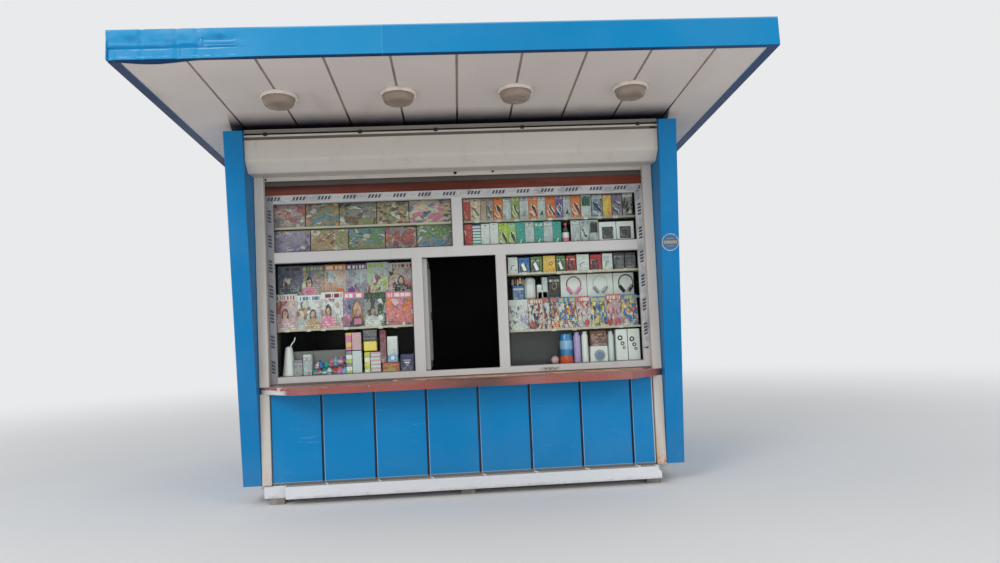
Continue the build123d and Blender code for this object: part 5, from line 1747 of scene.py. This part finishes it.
def build_shutter_fittings():
    """Lock hole and latch in the end slat, rail straps, the open slot and the rusty bracket."""
    parts, dark, bracket = Maker(), Maker(), Maker()
    slat = low("shutter_end_slat")
    y = slat.y
    parts.block((0.292, y - 0.006, slat.z + 0.016), (0.312, y, slat.z + 0.030), 0.002, 1)
    face = RAIL_LOW.y - 0.0035
    for share in (-0.90, -0.45, -0.087, 0.334, 0.904):
        x, z = share * ROOM, CLIP_FOOT + 0.004
        strap = (x - 0.015, face, CLIP_FOOT - 0.010), (x + 0.015, RAIL_LOW.y - 0.0002, CLIP_TOP + 0.004)
        parts.block(*strap, 0.0012, 1)
        parts.tube([(x, face, z), (x, RAIL_LOW.y - 0.010, z)], 0.006, slot=1)
    parts.make("shutter_fittings", "rail_steel", "rail steel", "dark slot", smooth=30)
    hole = [(0, 0), (0.0135, 0), (0.0135, 0.004), (0.012, 0.007), (0.007, 0.010), (0, 0.011)]
    dark.lathe(hole, Matrix.Translation((-0.002, y - 0.0002, slat.z + 0.022)) @ TO_STREET, 20)
    dark.block((-1.514, y - 0.0035, slat.z + 0.004), (-1.500, y - 0.0002, slat.z + 0.022), 0.001)
    y, z = RAIL_LOW.y + 0.0048, RAIL_LOW.z + 0.003
    dark.block((1.542, y, z), (1.585, y + 0.0010, z + 0.016), 0.0004)
    dark.make("dark_slots", "rail_steel", "dark slot")
    x, top, y0, y1 = -1.594, BOX_HIGH.z, BOX_LOW.y - 0.001, BOX_LOW.y + 0.0084
    bracket.block((x, y0, top + 0.0002), (x + 0.044, y1, top + 0.0040), 0.001)
    bracket.block((x, y0, top + 0.0042), (x + 0.005, y1, top + 0.0215), 0.001)
    bracket.tube([(x + 0.028, y0 + 0.004, top + 0.004), (x + 0.028, y0 + 0.004, top + 0.011)], 0.004)
    bracket.make("rail_bracket", "rail_steel", "rusty steel")


def build_front_details():
    """The round sticker on the right fin, and under the panels the grey strip and the white slips that stand
    for sunlit glints, as painted light.
    """
    sticker, tabs = Maker(), Maker()
    fin_foot, fin_top, z, radius = low("right_wall").z, 2.875, 1.915, 0.0695
    face = lerp(STREET - 0.05, STREET - 0.335, (z - fin_foot) / (fin_top - fin_foot))
    lean = Matrix.Rotation(math.pi / 2 + math.atan2(0.285, fin_top - fin_foot), 4, "X")
    place = Matrix.Translation((1.6695, face, z)) @ lean
    sticker.lathe([(0, 0.0002), (radius, 0.0002), (radius, 0.0009), (0, 0.0009)], place, 48)
    inverse = place.inverted()
    sticker.remap(lambda co: [0.5 + part / (2 * radius) for part in (inverse @ co).xy])
    sticker.make("fin_sticker", "blue_paint", "round sticker")
    ledge, foot, y = high("sill_cover").z, low("apron_panels").z, PANEL_FACE
    tabs.dress("stone")
    tabs.block((-POST + 0.004, y + 0.001, ledge + 0.0002), (POST - 0.004, y + 0.004, foot - 0.0002))
    # white slips at the joints' feet: painted light that stands for sunlit glints on the ledge
    tabs.dress("white")
    for x in (FIRST_JOINT + BOARD * k for k in range(7)):
        front = (x + 0.014, y - 0.001), (x + 0.024, y - 0.001), (x + 0.044, y - 0.048), (x + 0.036, y - 0.048)
        tabs.loft([[(*spot, ledge + rise) for spot in front] for rise in (0.0002, 0.0100)])
    tabs.make("joint_tabs", "base_steel", "moulded plastic")


def build_rear_details():
    """The lock plate on the rear door."""
    plate = Maker()
    leaf_foot, leaf = low("door_leaf").z, high("door_leaf")
    x, foot, top = leaf.x - 0.05, leaf_foot + 0.86, leaf_foot + 0.955
    plate.block((x - 0.022, leaf.y + 0.0002, foot), (x + 0.022, leaf.y + 0.003, top), 0.0015)
    plate.make("lock_plate", "door_hardware", "door metal")


# Stage


def camera_turn(yaw, pitch, roll):
    """The rotation of a camera that looks along +Y when all three are zero."""
    ahead = Vector((math.sin(yaw) * math.cos(pitch), math.cos(yaw) * math.cos(pitch), math.sin(pitch)))
    right = Vector((math.cos(yaw), -math.sin(yaw), 0))
    up = right.cross(ahead)
    tilted = math.cos(roll) * right + math.sin(roll) * up
    above = math.cos(roll) * up - math.sin(roll) * right
    return Matrix((tilted, above, -ahead)).transposed().to_4x4()


BACKDROP = ink(233, 234, 235)
LIGHTS = (
    ("key", (-5.5, -9.0, 7.5), (0, -0.3, 1.4), 5.0),
    ("fill", (7.5, -8.0, 4.5), (0, -0.3, 1.4), 6.0),
    ("low", (0.0, -8.5, 0.9), (0, -0.6, 1.8), 5.0),
)


def seen_rays(n):
    """1 for the rays that see the backdrop: straight, mirrored or through the glass."""
    path = n.add("ShaderNodeLightPath").outputs
    return n.most(path["Is Camera Ray"], path["Is Glossy Ray"], path["Is Transmission Ray"])


def build_floor(scene):
    """A pale floor that fades into the backdrop away from the kiosk."""
    n = new_material("studio floor")
    tone = n.mix(n.patchy(0.4, 0.2, 0.8, 2.0), ink(236, 235, 233), ink(232, 231, 229))
    n.give(Base_Color=tone, Roughness=0.9, Specular_IOR_Level=0.1)
    haze = n.add("ShaderNodeEmission", {0: BACKDROP, 1: 1.0}).outputs[0]
    share = n.times(n.step(n.length(n.place), 3.5, 14.0), seen_rays(n))
    n.feed(n.end, n.add("ShaderNodeMixShader", {0: share, 1: n.lit, 2: haze}).outputs[0])
    floor = bmesh.new()
    bmesh.ops.create_grid(floor, x_segments=1, y_segments=1, size=60.0)
    mesh = bpy.data.meshes.new("floor")
    floor.to_mesh(mesh)
    floor.free()
    mesh.materials.append(FINISHES["studio floor"])
    ground = bpy.data.objects.new("studio_floor", mesh)
    scene.collection.objects.link(ground)


def build_stage(light):
    """The camera of the photo, the floor, an even sky and three soft lights."""
    scene = bpy.context.scene
    scene.view_settings.view_transform = "Standard"
    data = bpy.data.cameras.new("camera")
    data.sensor_width = 36.0
    data.lens = light.lens
    camera = bpy.data.objects.new("camera", data)
    scene.collection.objects.link(camera)
    eye = Matrix.Translation((-0.0357, STREET - 6.0027, 1.3727))
    camera.matrix_world = eye @ camera_turn(0.0599, 0.0495, -0.0441)
    scene.camera = camera
    build_floor(scene)
    world = bpy.data.worlds.new("studio")
    scene.world = world
    world.use_nodes = True
    n = Nodes(world.node_tree)
    n.tree.nodes.clear()
    lit = n.add("ShaderNodeBackground", {0: (0.93, 0.96, 1.0, 1), 1: light.sky}).outputs[0]
    shown = n.add("ShaderNodeBackground", {0: BACKDROP, 1: 1.0}).outputs[0]
    both = n.add("ShaderNodeMixShader", {0: seen_rays(n), 1: lit, 2: shown})
    n.add("ShaderNodeOutputWorld", {0: both.outputs[0]})
    for name, spot, target, size in LIGHTS:
        lamp = bpy.data.lights.new(name, "AREA")
        lamp.shape = "DISK"
        lamp.size = size
        away = Vector(target) - Vector(spot)
        lamp.energy = getattr(light, name) * math.pi ** 2 * away.length_squared
        lamp_object = bpy.data.objects.new(name, lamp)
        scene.collection.objects.link(lamp_object)
        # the panes would mirror the low light as a bright disc
        lamp_object.visible_glossy = name != "low"
        turned = away.to_track_quat("-Z", "Y").to_matrix().to_4x4()
        lamp_object.matrix_world = Matrix.Translation(spot) @ turned


# Settings, operators and panel


def colour_setting(name, description, *tone):
    start = [part / 255 for part in tone]
    return FloatVectorProperty(
        name=name, description=description, subtype="COLOR_GAMMA", size=3, min=0, max=1, default=start,
    )


def share_setting(name, description, default, high_end):
    return FloatProperty(
        name=name, description=description, default=default, min=0, max=high_end, subtype="FACTOR",
    )


class KIOSK_PG_colours(bpy.types.PropertyGroup):
    blue: colour_setting("Blue", "Side walls, fins and rear wall", 2, 120, 180)
    panels: colour_setting("Panels", "Front panels under the counter", 2, 126, 186)
    fascia: colour_setting("Canopy edge", "Folded edge of the canopy", 4, 130, 182)
    soffit: colour_setting("Soffit", "Underside of the canopy", 214, 203, 196)
    shutter: colour_setting("Shutter", "Shutter box, guides, end slat and corner posts", 204, 197, 188)
    plastic: colour_setting("Window plastic", "Frame bars and sash", 193, 192, 190)
    counter: colour_setting("Counter", "Paint of the sales counter", 152, 74, 68)
    lintel: colour_setting("Lintel", "Board over the window", 116, 54, 40)
    base: colour_setting("Base", "Sill cover and beams", 222, 224, 226)
    door: colour_setting("Door", "Rear door and its frame", 34, 96, 158)


class KIOSK_PG_sizes(bpy.types.PropertyGroup):
    dent: share_setting("Dent", "Depth of the damage at the canopy's left end, as a share", 1.0, 1.2)
    film_width: FloatProperty(
        name="Film width", description="Width of the film on the window frame",
        default=0.056, min=0.02, max=0.08, unit="LENGTH",
    )
    mark_pitch: FloatProperty(
        name="Mark spacing", description="Distance between the marks on the film",
        default=0.2, min=0.05, max=1, unit="LENGTH",
    )


class KIOSK_PG_light(bpy.types.PropertyGroup):
    lens: FloatProperty(
        name="Lens", description="Focal length of the camera in millimetres",
        default=26.82, min=10, max=200, subtype="DISTANCE_CAMERA",
    )
    sky: share_setting("Sky", "Strength of the even light from all round", 0.62, 3)
    key: share_setting("Key", "Share of full light from the left front", 0.30, 2)
    fill: share_setting("Fill", "Share of full light from the right front", 0.12, 2)
    low: share_setting("Low", "Share of full light from low in front, under the canopy", 0.20, 2)


class KioskOperator:
    """Runs the operator's builder with the groups of settings that it uses."""

    bl_options = {"REGISTER", "UNDO"}
    uses = ()

    def execute(self, context):
        self.build(*(getattr(context.scene, name) for name in self.uses))
        return {"FINISHED"}


class KIOSK_OT_finishes(KioskOperator, bpy.types.Operator):
    """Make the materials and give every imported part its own"""
    bl_idname = "kiosk.finishes"
    bl_label = "Finishes"
    build = staticmethod(build_finishes)
    uses = ("kiosk_colours", "kiosk_sizes")


class KIOSK_OT_stage(KioskOperator, bpy.types.Operator):
    """Make the camera, the pale floor and the soft lights"""
    bl_idname = "kiosk.stage"
    bl_label = "Stage"
    build = staticmethod(build_stage)
    uses = ("kiosk_light",)


class KIOSK_OT_canopy_edge(KioskOperator, bpy.types.Operator):
    """Bend and dent the canopy's front sheet"""
    bl_idname = "kiosk.canopy_edge"
    bl_label = "Canopy edge"
    build = staticmethod(build_front_edge)
    uses = ("kiosk_sizes",)


class KIOSK_OT_lamps(KioskOperator, bpy.types.Operator):
    """Make the round lamps under the canopy"""
    bl_idname = "kiosk.lamps"
    bl_label = "Lamps"
    build = staticmethod(build_lamps)


class KIOSK_OT_joint_strips(KioskOperator, bpy.types.Operator):
    """Make the strips in the joints of the soffit boards"""
    bl_idname = "kiosk.joint_strips"
    bl_label = "Joint strips"
    build = staticmethod(build_joint_strips)


class KIOSK_OT_seals(KioskOperator, bpy.types.Operator):
    """Make the rubber seals of the panes and of the sash"""
    bl_idname = "kiosk.seals"
    bl_label = "Seals"
    build = staticmethod(build_seals)


class KIOSK_OT_films(KioskOperator, bpy.types.Operator):
    """Make the strips of film on the window frame"""
    bl_idname = "kiosk.films"
    bl_label = "Films"
    build = staticmethod(build_films)
    uses = ("kiosk_sizes",)


class KIOSK_OT_covers(KioskOperator, bpy.types.Operator):
    """Fill the rack with made-up magazines and pictures"""
    bl_idname = "kiosk.covers"
    bl_label = "Covers"
    build = staticmethod(build_covers)


class KIOSK_OT_packs(KioskOperator, bpy.types.Operator):
    """Hang the flat packs on the right-hand rack"""
    bl_idname = "kiosk.packs"
    bl_label = "Packs"
    build = staticmethod(build_packs)


class KIOSK_OT_cartons(KioskOperator, bpy.types.Operator):
    """Stand the boxed goods on the shelves"""
    bl_idname = "kiosk.cartons"
    bl_label = "Cartons"
    build = staticmethod(build_cartons)


class KIOSK_OT_loose_goods(KioskOperator, bpy.types.Operator):
    """Make the bottles, toys and stacks"""
    bl_idname = "kiosk.loose_goods"
    bl_label = "Loose goods"
    build = staticmethod(build_loose_goods)


class KIOSK_OT_price_cards(KioskOperator, bpy.types.Operator):
    """Clip blank price cards on the shelf edges"""
    bl_idname = "kiosk.price_cards"
    bl_label = "Price cards"
    build = staticmethod(build_price_cards)


class KIOSK_OT_fixings(KioskOperator, bpy.types.Operator):
    """Set the screw heads"""
    bl_idname = "kiosk.fixings"
    bl_label = "Fixings"
    build = staticmethod(build_fixings)


class KIOSK_OT_shutter_fittings(KioskOperator, bpy.types.Operator):
    """Make the fittings of the roller shutter and of the rail"""
    bl_idname = "kiosk.shutter_fittings"
    bl_label = "Shutter fittings"
    build = staticmethod(build_shutter_fittings)


class KIOSK_OT_front_details(KioskOperator, bpy.types.Operator):
    """Make the sticker, and the strip under the panels with its white slips of painted light"""
    bl_idname = "kiosk.front_details"
    bl_label = "Front details"
    build = staticmethod(build_front_details)


class KIOSK_OT_rear_details(KioskOperator, bpy.types.Operator):
    """Make the fittings of the rear door"""
    bl_idname = "kiosk.rear_details"
    bl_label = "Rear details"
    build = staticmethod(build_rear_details)


OPERATORS = (
    KIOSK_OT_finishes, KIOSK_OT_stage, KIOSK_OT_canopy_edge, KIOSK_OT_lamps,
    KIOSK_OT_joint_strips, KIOSK_OT_seals, KIOSK_OT_films, KIOSK_OT_covers,
    KIOSK_OT_packs, KIOSK_OT_cartons, KIOSK_OT_loose_goods, KIOSK_OT_price_cards,
    KIOSK_OT_fixings, KIOSK_OT_shutter_fittings, KIOSK_OT_front_details, KIOSK_OT_rear_details,
)


class KIOSK_PT_panel(bpy.types.Panel):
    """The kiosk's settings and the buttons that build it"""
    bl_label = "Street kiosk"
    bl_idname = "KIOSK_PT_panel"
    bl_space_type = "VIEW_3D"
    bl_region_type = "UI"
    bl_category = "Kiosk"

    def draw(self, context):
        column = self.layout.column()
        for name in GROUPS_OF_SETTINGS:
            group = getattr(context.scene, name)
            for key in group.__annotations__:
                column.prop(group, key)
        for operator in OPERATORS:
            column.operator(operator.bl_idname)


GROUPS_OF_SETTINGS = {
    "kiosk_colours": KIOSK_PG_colours, "kiosk_sizes": KIOSK_PG_sizes, "kiosk_light": KIOSK_PG_light,
}
CLASSES = (*GROUPS_OF_SETTINGS.values(), *OPERATORS, KIOSK_PT_panel)


def register():
    for cls in CLASSES:
        bpy.utils.register_class(cls)
    for name, cls in GROUPS_OF_SETTINGS.items():
        setattr(bpy.types.Scene, name, PointerProperty(type=cls))


def unregister():
    for name in GROUPS_OF_SETTINGS:
        delattr(bpy.types.Scene, name)
    for cls in reversed(CLASSES):
        bpy.utils.unregister_class(cls)


def main():
    register()
    for operator in OPERATORS:
        _, name = operator.bl_idname.split(".")
        getattr(bpy.ops.kiosk, name)()


if __name__ == "__main__":
    main()
